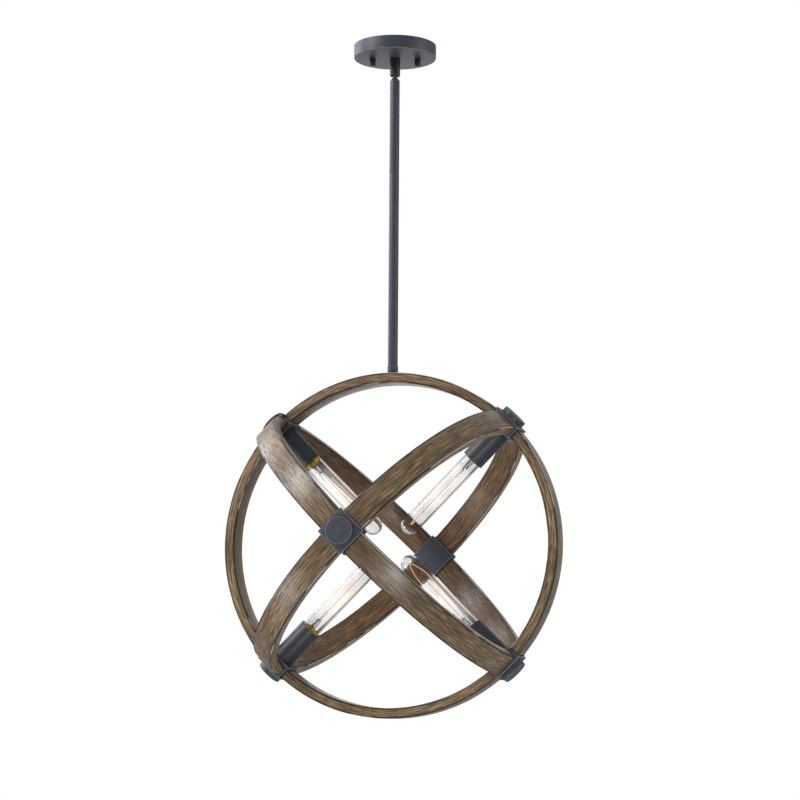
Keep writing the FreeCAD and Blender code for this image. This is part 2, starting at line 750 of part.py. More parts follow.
def make_junction(name, direction, has_lamp):
    """Square core that the four bands butt on, with its wider inner plate, in one casting."""
    body = new_body(name, junction_turn(direction), "-orb_drop")
    plate = new_sketch(body, "InnerPlate", "XY_Plane", lift=CUP_SEAT)
    add_square(plate, "plate_width")
    pad(body, plate, "plate_thickness", name="Plate")
    ease(body, "Chamfer", "plate_edge", lambda edge: is_flat_at(edge, CUP_SEAT))
    core = new_sketch(body, "CoreOutline", "XY_Plane", lift=CORE_IN)
    add_square(core, "core_width")
    pad(body, core, f"{CORE_OUT} - {CORE_IN}", name="Core")
    bore = new_sketch(body, "Bore", "XY_Plane", lift=CORE_OUT)
    add_circle(bore, "0", "0", "junction_bore_diameter / 2")
    if has_lamp:
        pocket(body, bore, f"{CORE_OUT} - {CUP_SEAT}", name="BoreCut")
        port = new_sketch(body, "WirePort", "YZ_Plane")
        add_circle(port, "0", CHANNEL_RADIUS, "wire_port / 2")
        pocket(body, port, name="WirePortCut")
    else:
        pocket(body, bore, "blind_depth", name="BoreCut")
    return body


def make_outer_plate(name, direction):
    """Square plate over the ends of the four bands."""
    body = new_body(name, junction_turn(direction), "-orb_drop")
    outline = new_sketch(body, "Outline", "XY_Plane", lift=CORE_OUT)
    add_square(outline, "plate_width")
    add_circle(outline, "0", "0", "junction_bore_diameter / 2")
    pad(body, outline, "plate_thickness")
    ease(body, "Chamfer", "plate_edge", lambda edge: is_flat_at(edge, CAP_SEAT))
    return body


def make_junction_cap(name, direction):
    """Round cap whose spigot screws through the outer plate into the core."""
    body = new_body(name, junction_turn(direction), "-orb_drop")
    top = f"{CAP_SEAT} + cap_height"
    radius = "cap_diameter / 2"
    end = f"{CORE_OUT} - cap_spigot_depth"
    spigot = "junction_bore_diameter / 2 - thread_clearance"
    revolve(body, [("0", end), (spigot, end), (spigot, CAP_SEAT), (radius, CAP_SEAT),
                   (radius, f"{top} - cap_edge"), (f"{radius} - cap_edge", top), ("0", top)])
    return body


# ---------------------------------------------------------------- lamp sockets

def make_cup(name, direction):
    """Metal cup over the lampholder, standing on a narrower seat on the inner plate."""
    body = new_body(name, junction_turn(direction), "-orb_drop")
    outside = "cup_diameter / 2"
    inside = f"{outside} - cup_wall"
    revolve(body, [(NIPPLE_HOLE, CUP_SEAT), ("cup_seat_diameter / 2", CUP_SEAT),
                   ("cup_seat_diameter / 2", CUP_TOP), (f"{outside} - cup_edge", CUP_TOP),
                   (outside, f"{CUP_TOP} - cup_edge"), (outside, CUP_MOUTH),
                   (inside, CUP_MOUTH), (inside, CUP_INSIDE), (NIPPLE_HOLE, CUP_INSIDE)])
    return body


def make_lampholder(name, direction):
    """Porcelain body that holds the screw shell and takes the end of the socket nipple."""
    body = new_body(name, junction_turn(direction), "-orb_drop")
    outside = "cup_diameter / 2 - cup_wall - holder_clearance"
    pocket_radius = f"{SHELL_BORE} + shell_wall + thread_clearance"
    nipple_end = f"{CUP_INSIDE} - socket_nipple_entry"
    revolve(body, [(NIPPLE_HOLE, CUP_INSIDE), (outside, CUP_INSIDE), (outside, HOLDER_MOUTH),
                   (pocket_radius, HOLDER_MOUTH), (pocket_radius, HOLDER_FLOOR),
                   ("holder_wire_bore_diameter / 2", HOLDER_FLOOR),
                   ("holder_wire_bore_diameter / 2", nipple_end),
                   (NIPPLE_HOLE, nipple_end)])
    return body


def make_screw_shell(name, direction):
    """Brass shell for the lamp base, with a rim on the holder's mouth and a lip round it."""
    body = new_body(name, junction_turn(direction), "-orb_drop")
    end = f"{HOLDER_MOUTH} - shell_rim_height"
    wall = f"{SHELL_BORE} + shell_wall"
    rim = f"{wall} + shell_rim_width"
    lip = f"{rim} - shell_wall"
    revolve(body, [(SHELL_BORE, HOLDER_FLOOR), (wall, HOLDER_FLOOR), (wall, HOLDER_MOUTH),
                   (rim, HOLDER_MOUTH), (rim, f"{end} - shell_lip_length"),
                   (lip, f"{end} - shell_lip_length"), (lip, end), (SHELL_BORE, end)])
    return body


def make_contact(name, direction):
    """Centre contact on the floor of the lampholder."""
    body = new_body(name, junction_turn(direction), "-orb_drop")
    bottom = f"{LAMP_END} + contact_gap"
    revolve(body, [("0", bottom), ("contact_diameter / 2", bottom),
                   ("contact_diameter / 2", HOLDER_FLOOR), ("0", HOLDER_FLOOR)])
    return body


# ---------------------------------------------------------------- lamps

def make_bulb_glass(name, direction):
    """Clear tube with a round end, drawn in to a neck that sits in the base."""
    body = new_body(name, junction_turn(direction), "-orb_drop")
    tube = "bulb_diameter / 2"
    neck = "bulb_neck_diameter / 2"
    dome = f"bulb_tip_gap + {tube}"
    narrow = f"{LAMP_END} - bulb_shoulder_start"
    wide = f"{narrow} - bulb_shoulder"
    revolve(body, [(neck, NECK_TOP), (neck, narrow), (tube, wide), (tube, dome),
                   ("0", "bulb_tip_gap"), ("0", "bulb_tip_gap + bulb_glass"),
                   (f"{tube} - bulb_glass", dome), (f"{tube} - bulb_glass", wide),
                   (f"{neck} - bulb_glass", narrow), (f"{neck} - bulb_glass", NECK_TOP)],
            arcs={3: ("0", dome, False), 5: ("0", dome, True)})
    return body


def make_bulb_base(name, direction):
    """Screw base: a thin metal cup round the neck, an insulator and the end contact."""
    body = new_body(name, junction_turn(direction), "-orb_drop")
    outside = "base_diameter / 2"
    inside = f"{outside} - base_wall"
    tip = "base_tip_diameter / 2"
    floor = f"{LAMP_END} - base_floor"
    cone = f"{LAMP_RIM} + base_straight"
    step = f"{LAMP_END} - base_tip_height"
    revolve(body, [(inside, LAMP_RIM), (outside, LAMP_RIM), (outside, cone),
                   ("base_insulator_diameter / 2", step), (tip, step), (tip, LAMP_END),
                   ("0", LAMP_END), ("0", floor), (inside, floor)])
    return body


def make_filament_mount(name, direction):
    """Glass stem on a flare that closes the neck, with the hairpin filament on its pinch."""
    body = new_body(name, junction_turn(direction), "-orb_drop")
    rod = "mount_rod_diameter / 2"
    flare = "bulb_neck_diameter / 2 - holder_clearance"
    end = f"{NECK_TOP} - mount_length"
    revolve(body, [("0", end), (rod, end), (rod, f"{NECK_TOP} - mount_taper"),
                   ("mount_foot_diameter / 2", NECK_TOP), (flare, NECK_TOP),
                   (flare, f"{NECK_TOP} + mount_flare"), ("0", f"{NECK_TOP} + mount_flare")])
    pinch = new_sketch(body, "Pinch", "XY_Plane", lift=f"{end} - pinch_height / 2")
    add_loop(pinch, [("-pinch_width / 2", "-pinch_thickness / 2"),
                     ("pinch_width / 2", "-pinch_thickness / 2"),
                     ("pinch_width / 2", "pinch_thickness / 2"),
                     ("-pinch_width / 2", "pinch_thickness / 2")])
    pad(body, pinch, "pinch_height", name="PinchedEnd")
    half = "filament_spread / 2"
    turn = f"filament_tip_gap + bulb_tip_gap + {half}"
    wire = new_sketch(body, "HairpinPath", "XZ_Plane")
    add_loop(wire, [(half, end), (half, turn), (f"-{half}", turn), (f"-{half}", end)],
             arcs={1: ("0", turn, False)}, closed=False)
    section = new_sketch(body, "WireSection", "XY_Plane", lift=end)
    add_circle(section, half, "0", "filament_diameter / 2")
    doc.recompute()
    hairpin = body.newObject("PartDesign::AdditivePipe", "Hairpin")
    hairpin.Profile = section
    hairpin.Spine = (wire, ["Edge1", "Edge2", "Edge3"])
    return body


# ---------------------------------------------------------------- the assembly

PARTS = [
    make_crossbar(), make_box_screws(), make_ground_screw(), make_canopy_studs(),
    make_stud_nuts(), make_canopy(), make_cap_nuts(),
    threaded_tube("swivel_nipple", f"{CANOPY_FLOOR} + nipple_rise",
                  "-canopy_height - nipple_entry"),
    hex_nut("nipple_locknut", "locknut_flats", "locknut_height", NIPPLE_HOLE,
            f"{CANOPY_FLOOR} + locknut_height"),
    make_swivel_collar(), make_stop_screw(), make_turning_ring(), make_cross_pin(),
    make_ball_head(), make_stem("upper_stem", STEM_TOP, STEM_JOINT),
    threaded_tube("stem_joiner", f"{STEM_JOINT} + joiner_length / 2",
                  f"{STEM_JOINT} - joiner_length / 2"),
    make_stem("lower_stem", STEM_JOINT, STEM_END), make_stem_foot(),
    threaded_tube("foot_nipple", f"{STEM_END} + foot_nipple_entry",
                  f"{CHANNEL_RADIUS} + channel_depth / 2 - orb_drop"),
    make_foot_locknut(),
]

for arc_name, (arc_start, arc_stop, wired) in ARCS.items():
    arc = make_arc(arc_name, arc_start, arc_stop, wired)
    if arc_name == "upright_top_arc":
        drill_foot_hole(arc)
    PARTS.append(arc)

JUNCTIONS = {**PLAIN_JUNCTIONS, **LAMP_JUNCTIONS}
for place, outward in JUNCTIONS.items():
    PARTS.append(make_junction(f"{place}_junction", outward, place in LAMP_JUNCTIONS))
PARTS.append(group("outer_plates", [make_outer_plate(f"{place}_outer_plate", outward)
                                    for place, outward in JUNCTIONS.items()]))
PARTS.append(group("junction_caps", [make_junction_cap(f"{place}_cap", outward)
                                     for place, outward in JUNCTIONS.items()]))
PARTS.append(group("socket_nipples", [
    threaded_tube(f"{place}_socket_nipple", f"{CORE_IN} + socket_nipple_rise",
                  f"{CUP_INSIDE} - socket_nipple_entry", junction_turn(outward), "-orb_drop")
    for place, outward in LAMP_JUNCTIONS.items()]))
for label, maker in (("lampholders", make_lampholder), ("screw_shells", make_screw_shell),
                     ("centre_contacts", make_contact)):
    PARTS.append(group(label, [maker(f"{place}_{label}", outward)
                               for place, outward in LAMP_JUNCTIONS.items()]))
for place, outward in LAMP_JUNCTIONS.items():
    PARTS.append(make_cup(f"{place}_cup", outward))
    PARTS.append(make_bulb_glass(f"{place}_bulb_glass", outward))
    PARTS.append(make_bulb_base(f"{place}_bulb_base", outward))
    PARTS.append(make_filament_mount(f"{place}_filament_mount", outward))

doc.recompute()
for thing in doc.Objects:
    if "Invalid" in thing.State or "Error" in thing.State:
        raise RuntimeError(f"{thing.Name} failed: {thing.State}")
for part in PARTS:
    if part.Shape.isNull() or not part.Shape.isValid() or not part.Shape.Solids:
        raise RuntimeError(f"{part.Label} has no valid solid")

os.makedirs("parts", exist_ok=True)
for part in PARTS:
    part.Shape.exportStep(f"parts/{part.Label}.step")
print(len(PARTS), "nodes,", sum(len(part.Shape.Solids) for part in PARTS), "solids")
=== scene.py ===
# %% [markdown]
# # Orb chandelier
#
# Three bent-wood hoops of one size cross at six dark metal junctions. Four of the junctions
# carry a tube lamp that points to the middle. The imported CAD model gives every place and
# size. This file gives the surfaces: finer meshes where the CAD model is plain, and a
# procedural material for each finish. Sizes of the pieces are written in millimetres, and
# turned into metres when a mesh is made.

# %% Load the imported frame
import json
import math

import bmesh
import bpy
import numpy as np
from mathutils import Matrix, Vector


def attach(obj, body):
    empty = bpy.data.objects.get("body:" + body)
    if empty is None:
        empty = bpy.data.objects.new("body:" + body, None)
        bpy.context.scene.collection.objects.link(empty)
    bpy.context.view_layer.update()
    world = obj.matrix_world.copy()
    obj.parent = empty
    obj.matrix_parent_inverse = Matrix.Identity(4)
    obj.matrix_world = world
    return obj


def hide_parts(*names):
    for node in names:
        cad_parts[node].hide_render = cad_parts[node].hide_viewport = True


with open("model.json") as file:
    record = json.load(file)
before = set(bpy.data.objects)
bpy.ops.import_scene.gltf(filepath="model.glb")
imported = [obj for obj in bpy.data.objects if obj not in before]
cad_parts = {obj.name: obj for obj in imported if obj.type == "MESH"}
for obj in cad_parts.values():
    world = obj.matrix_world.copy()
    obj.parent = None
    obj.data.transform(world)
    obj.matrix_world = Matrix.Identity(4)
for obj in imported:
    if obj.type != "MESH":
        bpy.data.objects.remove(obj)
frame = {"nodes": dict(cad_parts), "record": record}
nodes = frame["nodes"]
body_of_node = {n: body for body, group in frame["record"]["behaviour"]["bodies"].items()
                for n in group}
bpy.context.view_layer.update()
MM = 0.001

# %% [markdown]
# ## Where things are
#
# The orb's middle hangs below the ceiling. Each junction lies on a line from that middle, so
# a piece of a junction is easiest to draw as if its line were the Z axis, and then turned
# into place by one matrix.

# %% Frames of the junctions
HOOP_RADIUS = 260.0
BAND_THICKNESS = 15.5
BAND_WIDTH = 38.0
BAND_EDGE = 1.5
CORE_WIDTH = 43.0
PLATE_WIDTH = 47.5
ORB_MIDDLE = Vector((0, 0, -774.3)) * MM
S = math.sqrt(0.5)
LAMP_JUNCTIONS = {"top_left": Vector((-S, 0, S)), "top_right": Vector((S, 0, S)),
                  "bottom_left": Vector((-S, 0, -S)), "bottom_right": Vector((S, 0, -S))}
JUNCTIONS = {"front": Vector((0, -1, 0)), "back": Vector((0, 1, 0)), **LAMP_JUNCTIONS}


def junction_frame(direction):
    """Z outwards from the orb's middle, X along a band."""
    along = Vector((direction.z, 0, -direction.x))
    if abs(direction.y) > 0.5:
        along = Vector((S, 0, S))
    side = direction.cross(along)
    turned = Matrix((along, side, direction)).transposed().to_4x4()
    return Matrix.Translation(ORB_MIDDLE) @ turned


FRAMES = {place: junction_frame(direction) for place, direction in JUNCTIONS.items()}
print("junction frames:", ", ".join(FRAMES))

# %% [markdown]
# ## Node trees as sums
#
# Materials and Geometry Nodes both need arithmetic. Wrapping a socket in a small class that
# knows +, -, * and / keeps that arithmetic readable: `1 - mask * 0.5` adds the Math nodes.
# Nodes placed by hand in the editor would do the same, but can't be read as a formula. All
# other nodes come from one method, add.


# %% A socket that can be used in sums
class Out:
    def __init__(self, tree, socket):
        self.tree = tree
        self.socket = socket

    def math(self, operation, *others):
        return self.tree.add("ShaderNodeMath", {"operation": operation}, self, *others)

    def __add__(self, other):
        return self.math("ADD", other)

    def __sub__(self, other):
        return self.math("SUBTRACT", other)

    def __mul__(self, other):
        return self.math("MULTIPLY", other)

    def __truediv__(self, other):
        return self.math("DIVIDE", other)

    def __rsub__(self, other):
        return self.tree.add("ShaderNodeMath", {"operation": "SUBTRACT"}, other, self)

    __radd__ = __add__

    def spread(self, low, high, to_low=0.0, to_high=1.0):
        """This value with low..high stretched to to_low..to_high, and held there."""
        return self.tree.add("ShaderNodeMapRange", None, self, low, high, to_low, to_high)


class Tree:
    def __init__(self, tree):
        self.tree = tree

    def add(self, kind, settings=None, *values, out=0, **named):
        """A node of this kind. values fill its sockets in order, named by their names."""
        node = self.tree.nodes.new(kind)
        for name, setting in (settings or {}).items():
            if name == "stops":
                self.set_stops(node.color_ramp, setting)
            else:
                setattr(node, name, setting)
        for number, given in enumerate(values):
            self.join(given, node.inputs[number])
        for name, given in named.items():
            self.join(given, node.inputs[name.replace("_", " ")])
        return Out(self, node.outputs[out])

    def join(self, given, socket):
        if isinstance(given, Out):
            self.tree.links.new(given.socket, socket)
        elif given is not None:
            socket.default_value = given

    def set_stops(self, ramp, stops):
        while len(ramp.elements) < len(stops):
            ramp.elements.new(0.5)
        for element, (place, paint) in zip(ramp.elements, stops):
            element.position = place
            element.color = paint

    def place(self):
        """The point's place on the object, in metres."""
        return self.add("ShaderNodeTexCoord", out=3)

    def attribute(self, name, out=2):
        """A number that the mesh holds under this name, or a vector with out=1."""
        return self.add("ShaderNodeAttribute", {"attribute_name": name}, out=out)

    def compare(self, operation, first, second):
        """A number from two vectors."""
        return self.add("ShaderNodeVectorMath", {"operation": operation}, first, second, out=1)

    def xyz(self, x, y, z):
        return self.add("ShaderNodeCombineXYZ", None, x, y, z)

    def parts(self, vector):
        split = self.add("ShaderNodeSeparateXYZ", None, vector)
        return [Out(self, socket) for socket in split.socket.node.outputs]

    def noise(self, vector, scale, detail=3.0, roughness=0.55):
        return self.add("ShaderNodeTexNoise", None, Vector=vector, Scale=scale,
                        Detail=detail, Roughness=roughness)

    def mix(self, factor, first, second, blend="MIX"):
        """A colour between two colours."""
        node = self.tree.nodes.new("ShaderNodeMix")
        node.data_type = "RGBA"
        node.blend_type = blend
        for number, given in ((0, factor), (6, first), (7, second)):
            self.join(given, node.inputs[number])
        return Out(self, node.outputs[2])


print("node helpers ready")

# %% [markdown]
# ## One way to start every material
#
# Each material is a Principled surface. Numbers that are the same all over are set straight
# on its sockets. Colours here are what the eye reads off a screen, so they are turned from
# sRGB to the linear values that Blender's sockets hold.


# %% Material helpers
def colour(red, green, blue):
    """An on-screen colour, 0 to 255, as linear light with alpha."""
    levels = [level / 255 for level in (red, green, blue)]
    return (*[c / 12.92 if c <= 0.04045 else ((c + 0.055) / 1.055) ** 2.4 for c in levels], 1)


def new_material(name, **fixed):
    """A material with a Principled surface, its tree, and the surface node."""
    material = bpy.data.materials.new(name)
    material.use_nodes = True
    surface = material.node_tree.nodes["Principled BSDF"]
    for socket, given in fixed.items():
        surface.inputs[socket.replace("_", " ")].default_value = given
    return material, Tree(material.node_tree), surface


def bump(tree, height, strength, distance_mm):
    return tree.add("ShaderNodeBump", None, Strength=strength, Distance=distance_mm * MM,
                    Height=height)


print("helpers ready")


# %% [markdown]
# ## Stained and scraped wood
# The hoops are bent veneer boards with a grey-brown stain that has been rubbed thin on the
# raised grain and left dark in the pores. The pattern must follow the bend, so it doesn't
# read plain object coordinates. Each band keeps the coordinates of the straight board that
# it was bent from, in an attribute called board: X along the board, Y across it and Z
# through it. Noise that is stretched along X gives the grain. The distance to the nearest
# long corner comes from the same coordinates. The stain is darker there, with painted shade
# on the rounded corner. In short stretches a pale line runs along the corner's middle,
# partly stain rubbed off and partly a painted highlight. The sawn sides took less stain and
# are paler. The inner faces, which look into the orb, get painted shade that is darker and
# warmer. A second attribute called end holds the distance to the board's sawn end. The board
# is darker where it meets the casting, partly soot and partly a painted shadow of the plate.


# %% Wood material
STAIN = [(0.0, colour(44, 32, 19)), (0.25, colour(69, 53, 34)), (0.50, colour(99, 79, 54)),
         (0.75, colour(127, 105, 75)), (1.0, colour(162, 139, 105))]
RED_CAST = colour(126, 92, 58)
INSIDE_SHADE_TINT = colour(236, 206, 170)
PORE_BROWN = colour(42, 32, 23)
BURNT_AND_SHADE_BROWN = colour(24, 20, 17)
SCRAPE_AND_HIGHLIGHT_GREY = colour(190, 183, 170)


def make_wood():
    material, tree, surface = new_material("stained_wood", Specular_IOR_Level=0.35,
                                           Coat_Weight=0.25, Coat_Roughness=0.28)
    x, y, z = tree.parts(tree.attribute("board", out=1))

    def patches(along, over, detail, sideways=y, inwards=z, scale=1.0):
        """Noise with so many cells to the metre along the board, and over its section."""
        return tree.noise(tree.xyz(x * along, sideways * over, inwards * over), scale, detail)

    drift = patches(5, 12, 2.0)
    across = y + (drift - 0.5) * 0.010
    through = z + (drift - 0.5) * 0.005

    def grain(along, over, detail=0.0, scale=1.0):
        """The same, along lines that drift a little as real grain does."""
        return patches(along, over, detail, across, through, scale)

    # broad figure, long thin dashes that the stain left, fine fibre and dark pores
    broad = grain(7, 55, 3.0)
    dash = grain(30, 1300)
    fibre = grain(52, 2000)
    pore = grain(34, 520, scale=1.7).spread(0.60, 0.66)
    # millimetres from the board's middle plane: the sawn sides took less stain
    off_middle = y.math("ABSOLUTE") * 1000
    sawn = off_middle.spread(18.4, 18.95, 0.0, 0.17)
    tone = (broad * 0.18 + dash * 0.52 + fibre * 0.30).spread(0.31, 0.69) + sawn
    stain = tree.add("ShaderNodeValToRGB", {"stops": STAIN}, tone)
    warmth = patches(9, 40, 2.0).spread(0.4, 0.75)
    stained = tree.mix(warmth * 0.3, stain, RED_CAST, "OVERLAY")
    # painted shade: the inner faces, which look into the orb, are darker and warmer
    inside = (z * -1).spread(0.004, 0.0072)
    inside_shaded = tree.mix(inside * 0.65, stained, INSIDE_SHADE_TINT, "MULTIPLY")
    speckled = tree.mix(pore * 0.5, inside_shaded, PORE_BROWN)
    # in millimetres: side + face is small only near a long corner of the board
    side = BAND_WIDTH / 2 - off_middle
    face = BAND_THICKNESS / 2 - z.math("ABSOLUTE") * 1000
    ragged = patches(40, 60, 3.0)
    # darker along the rounded long corners: darker stain and painted shade
    corner = (side + face + (ragged - 0.5) * 1.4).spread(2.0, 2.9, 1.0, 0.0)
    scrape_and_highlight_stretches = patches(9, 30, 3.0).spread(0.54, 0.60)
    to_end = tree.attribute("end") * 1000
    # darker near the board's sawn end: soot and a painted shadow of the plate's edge
    soot_and_shadow = (to_end + (ragged - 0.5) * 4).spread(2.5, 5.5, 0.75, 0.0)
    burnt_and_shaded = tree.mix((corner * 0.93).math("MAXIMUM", soot_and_shadow), speckled, BURNT_AND_SHADE_BROWN)
    # a pale line along the middle of each rounded corner, in short stretches: stain rubbed off
    # and a painted highlight
    ridge = (side + face).spread(0.95, 1.4, 1.0, 0.0) * scrape_and_highlight_stretches
    scraped_and_highlit = tree.mix(ridge * 0.85, burnt_and_shaded, SCRAPE_AND_HIGHLIGHT_GREY)
    tree.join(scraped_and_highlit, surface.inputs["Base Color"])
    tree.join(0.30 + pore * 0.25 + dash * 0.2, surface.inputs["Roughness"])
    relief = dash * 0.6 + fibre * 0.4 - pore * 0.9
    tree.join(bump(tree, relief, 0.5, 0.35), surface.inputs["Normal"])
    return material


WOOD = make_wood()
print("made", WOOD.name)

# %% [markdown]
# ## Charcoal finish on the metal
#
# The castings, rod and canopy have a dark blue-grey coat with a faint cloudy mottle, a little
# rough like blackened iron. It is paint more than bare metal, so it is hardly metallic. Edges
# are paler, partly because the coat is rubbed there and partly as a painted highlight: the
# meshes mark the middle of each rounding and bevel in an attribute for that. The lamp cups get
# a darker copy of the coat, as painted shade, and the swivel and cap nuts are nearly black.
# The brass inside the cups' mouths is lit by the lamps, and gives off a share of its own
# colour.


# %% Metal materials
def make_charcoal(name, dark, light, edge, roughness):
    material, tree, surface = new_material(name, Metallic=0.12, Specular_IOR_Level=0.4)
    place = tree.place()
    cloud = tree.noise(place, 130.0, 4.0, 0.6)
    speck = tree.noise(place, 700.0, 3.0, 0.7)
    tone = (cloud * 0.45 + speck * 0.55).spread(0.34, 0.66)
    coat = tree.mix(tone, dark, light)
    # paler edges where the meshes mark roundings and bevels: rubbed coat and a painted
    # highlight
    wear = tree.attribute("wear")
    rubbed_and_highlit = wear * cloud.spread(0.35, 0.6, 0.55, 1.0)
    tree.join(tree.mix(rubbed_and_highlit, coat, edge), surface.inputs["Base Color"])
    tree.join(roughness + speck * 0.16 - wear * 0.1, surface.inputs["Roughness"])
    tree.join(bump(tree, cloud * 0.5 + speck * 0.5, 0.35, 0.25), surface.inputs["Normal"])
    return material


def make_bare(name, base, metallic, roughness, scale=400.0, variation=0.12, lit=0.0):
    """A plain plated, brass or glazed surface with a faint unevenness. lit is the share of
    its colour that it gives off, for a surface in a lamp's own light."""
    material, tree, surface = new_material(name, Metallic=metallic, Emission_Color=base,
                                           Emission_Strength=lit)
    cloud = tree.noise(tree.place(), scale, 3.0)
    darker = tuple(c * (1 - variation * 2) for c in base[:3]) + (1,)
    tree.join(tree.mix(cloud.spread(0.3, 0.7), darker, base), surface.inputs["Base Color"])
    tree.join(roughness + cloud * 0.15, surface.inputs["Roughness"])
    tree.join(bump(tree, cloud, 0.15, 0.1), surface.inputs["Normal"])
    return material


CHARCOAL = make_charcoal("charcoal_coat", colour(46, 49, 57), colour(67, 71, 80),
                         colour(158, 164, 170), 0.42)
# a darker copy of the charcoal coat: painted shade on the cups inside the orb
SHADED_CUP_COAT = make_charcoal("cup_coat", colour(38, 41, 47), colour(60, 63, 70),
                         colour(118, 122, 128), 0.38)
BLACK = make_charcoal("black_coat", colour(22, 23, 26), colour(34, 35, 39),
                      colour(60, 62, 66), 0.35)
PLATED = make_bare("plated_steel", colour(196, 196, 190), 1.0, 0.28)
BRASS = make_bare("brass", colour(192, 142, 40), 1.0, 0.3)
LIT_BRASS = make_bare("lit_brass", colour(186, 154, 46), 1.0, 0.3, lit=0.55)
GREEN = make_bare("green_screw", colour(36, 110, 60), 0.4, 0.35)
PORCELAIN = make_bare("porcelain", colour(232, 229, 220), 0.0, 0.12, 120.0, 0.03)
INSULATOR = make_bare("lamp_insulator", colour(26, 24, 24), 0.0, 0.3, 300.0)
WIRE = make_bare("support_wire", colour(120, 118, 112), 1.0, 0.3, 800.0)
print(len(bpy.data.materials), "materials so far")

# %% [markdown]
# ## Glass and the glowing filament
#
# The tubes are clear glass with a real wall. What refraction shows at their sides is the dim
# part of the studio's world, and that draws their outlines as in the photograph. A thin
# veil of warm light fades in from the tip and out before the base, for the haze round a lit
# filament. It is a colour on the surface, because a volume would be slow to render. The
# filament itself is a soft orange that gives off light.


# %% Glass and filament materials
def make_glass(name, tint, roughness=0.0, veil=0.0):
    material, tree, surface = new_material(name, Roughness=roughness, IOR=1.48,
                                           Transmission_Weight=1.0, Emission_Strength=1.0)
    place = tree.place()
    waves = tree.noise(place, 30.0, 2.0)
    tree.join(tree.mix(waves.spread(0.3, 0.7), tint, (1, 1, 1, 1)),
              surface.inputs["Base Color"])
    # metres from the orb's middle: the veil fades in beyond the tip and out before the base
    reach = tree.compare("DISTANCE", place, tuple(ORB_MIDDLE))
    glow = reach.spread(0.074, 0.094, 0.0, veil) * reach.spread(0.152, 0.166, 1.0, 0.0)
    tree.join(tree.xyz(glow, glow * 0.90, glow * 0.82), surface.inputs["Emission Color"])
    return material


def make_filament():
    material, tree, surface = new_material("filament_glow", Emission_Strength=1.0,
                                           Roughness=0.6)
    flicker = tree.noise(tree.place(), 500.0, 2.0).spread(0.35, 0.65)
    glow = tree.mix(flicker, (1.0, 0.50, 0.26, 1), (1.0, 0.68, 0.45, 1))
    tree.join(glow, surface.inputs["Emission Color"])
    tree.join(glow, surface.inputs["Base Color"])
    return material


CLEAR_TINT, STEM_TINT = (0.76, 0.75, 0.74, 1), (0.95, 0.96, 0.95, 1)
GLASS = make_glass("clear_glass", CLEAR_TINT, veil=0.06)
STEM_GLASS = make_glass("stem_glass", STEM_TINT, 0.03)
FILAMENT = make_filament()
print(len(bpy.data.materials), "materials")

# %% [markdown]
# ## Turning and sawing
#
# Most metal pieces are turned, so one function spins a drawn outline about Z. A Screw
# modifier would spin it too, but wouldn't carry the marks for rubbed edges and painted
# highlights. The outline's corners may be rounded, and the middle of a rounding is marked for
# rubbing and a painted highlight. Square pieces are boxes with bevelled edges. Both store the
# finished mesh in place, with the object at the origin.


# %% Mesh helpers
SMOOTH_BELOW = 35
ROUNDING_STEPS = 4
# share of the mark for rubbed edges and painted highlight on turned roundings
TURNED_WEAR_AND_HIGHLIGHT = 0.4


def put_in_scene(made):
    bpy.context.scene.collection.objects.link(made)
    return made


def as_mesh(made):
    """The plain mesh of an object with modifiers or a bevel."""
    depsgraph = bpy.context.evaluated_depsgraph_get()
    return bpy.data.meshes.new_from_object(made.evaluated_get(depsgraph))


def face_outwards(mesh, merge=False):
    """Turns every face outwards. merge first joins points that lie on one spot."""
    edit = bmesh.new()
    edit.from_mesh(mesh)
    if merge:
        bmesh.ops.remove_doubles(edit, verts=edit.verts, dist=1e-6)
    bmesh.ops.recalc_face_normals(edit, faces=edit.faces)
    edit.to_mesh(mesh)
    edit.free()


def show(name, mesh, smooth=SMOOTH_BELOW, material=None):
    """An object of the mesh, shaded smooth where faces meet below an angle in degrees."""
    mesh.shade_smooth()
    mesh.set_sharp_from_angle(angle=math.radians(smooth))
    if material:
        mesh.materials.append(material)
    return put_in_scene(bpy.data.objects.new(name, mesh))


def finish_mesh(name, verts, faces, material, at, wear=None, smooth=SMOOTH_BELOW):
    """An object from millimetre vertices, moved by the matrix at."""
    mesh = bpy.data.meshes.new(name)
    mesh.from_pydata([Vector(v) * MM for v in verts], [], faces)
    mesh.validate()
    mesh.transform(at)
    if wear is not None:
        mesh.attributes.new("wear", "FLOAT", "POINT").data.foreach_set("value", wear)
    face_outwards(mesh)
    return show(name, mesh, smooth, material)


def rounded(outline, corners):
    """The outline with some corners rounded: {corner number: radius}. Gives the points and
    which of them lie on a rounding."""
    points, marks = [], []
    count = len(outline)
    for number, here in enumerate(outline):
        if number not in corners:
            points.append(here)
            marks.append(0.0)
            continue
        here = np.array(here, float)
        before = np.array(outline[number - 1], float) - here
        after = np.array(outline[(number + 1) % count], float) - here
        before /= np.linalg.norm(before)
        after /= np.linalg.norm(after)
        half = math.acos(np.clip(before @ after, -1, 1)) / 2
        reach = corners[number] / math.tan(half)
        start, stop = here + before * reach, here + after * reach
        for step in range(ROUNDING_STEPS + 1):
            t = step / ROUNDING_STEPS
            bend = (1 - t) ** 2 * start + 2 * t * (1 - t) * here + t ** 2 * stop
            points.append(tuple(bend))
            marks.append(float(0 < step < ROUNDING_STEPS))
    return points, marks


def sleeve(inside, outside, first, last):
    """The outline of a plain tube from one height to another, or of a rod when inside is 0."""
    return [(inside, first), (outside, first), (outside, last), (inside, last)]


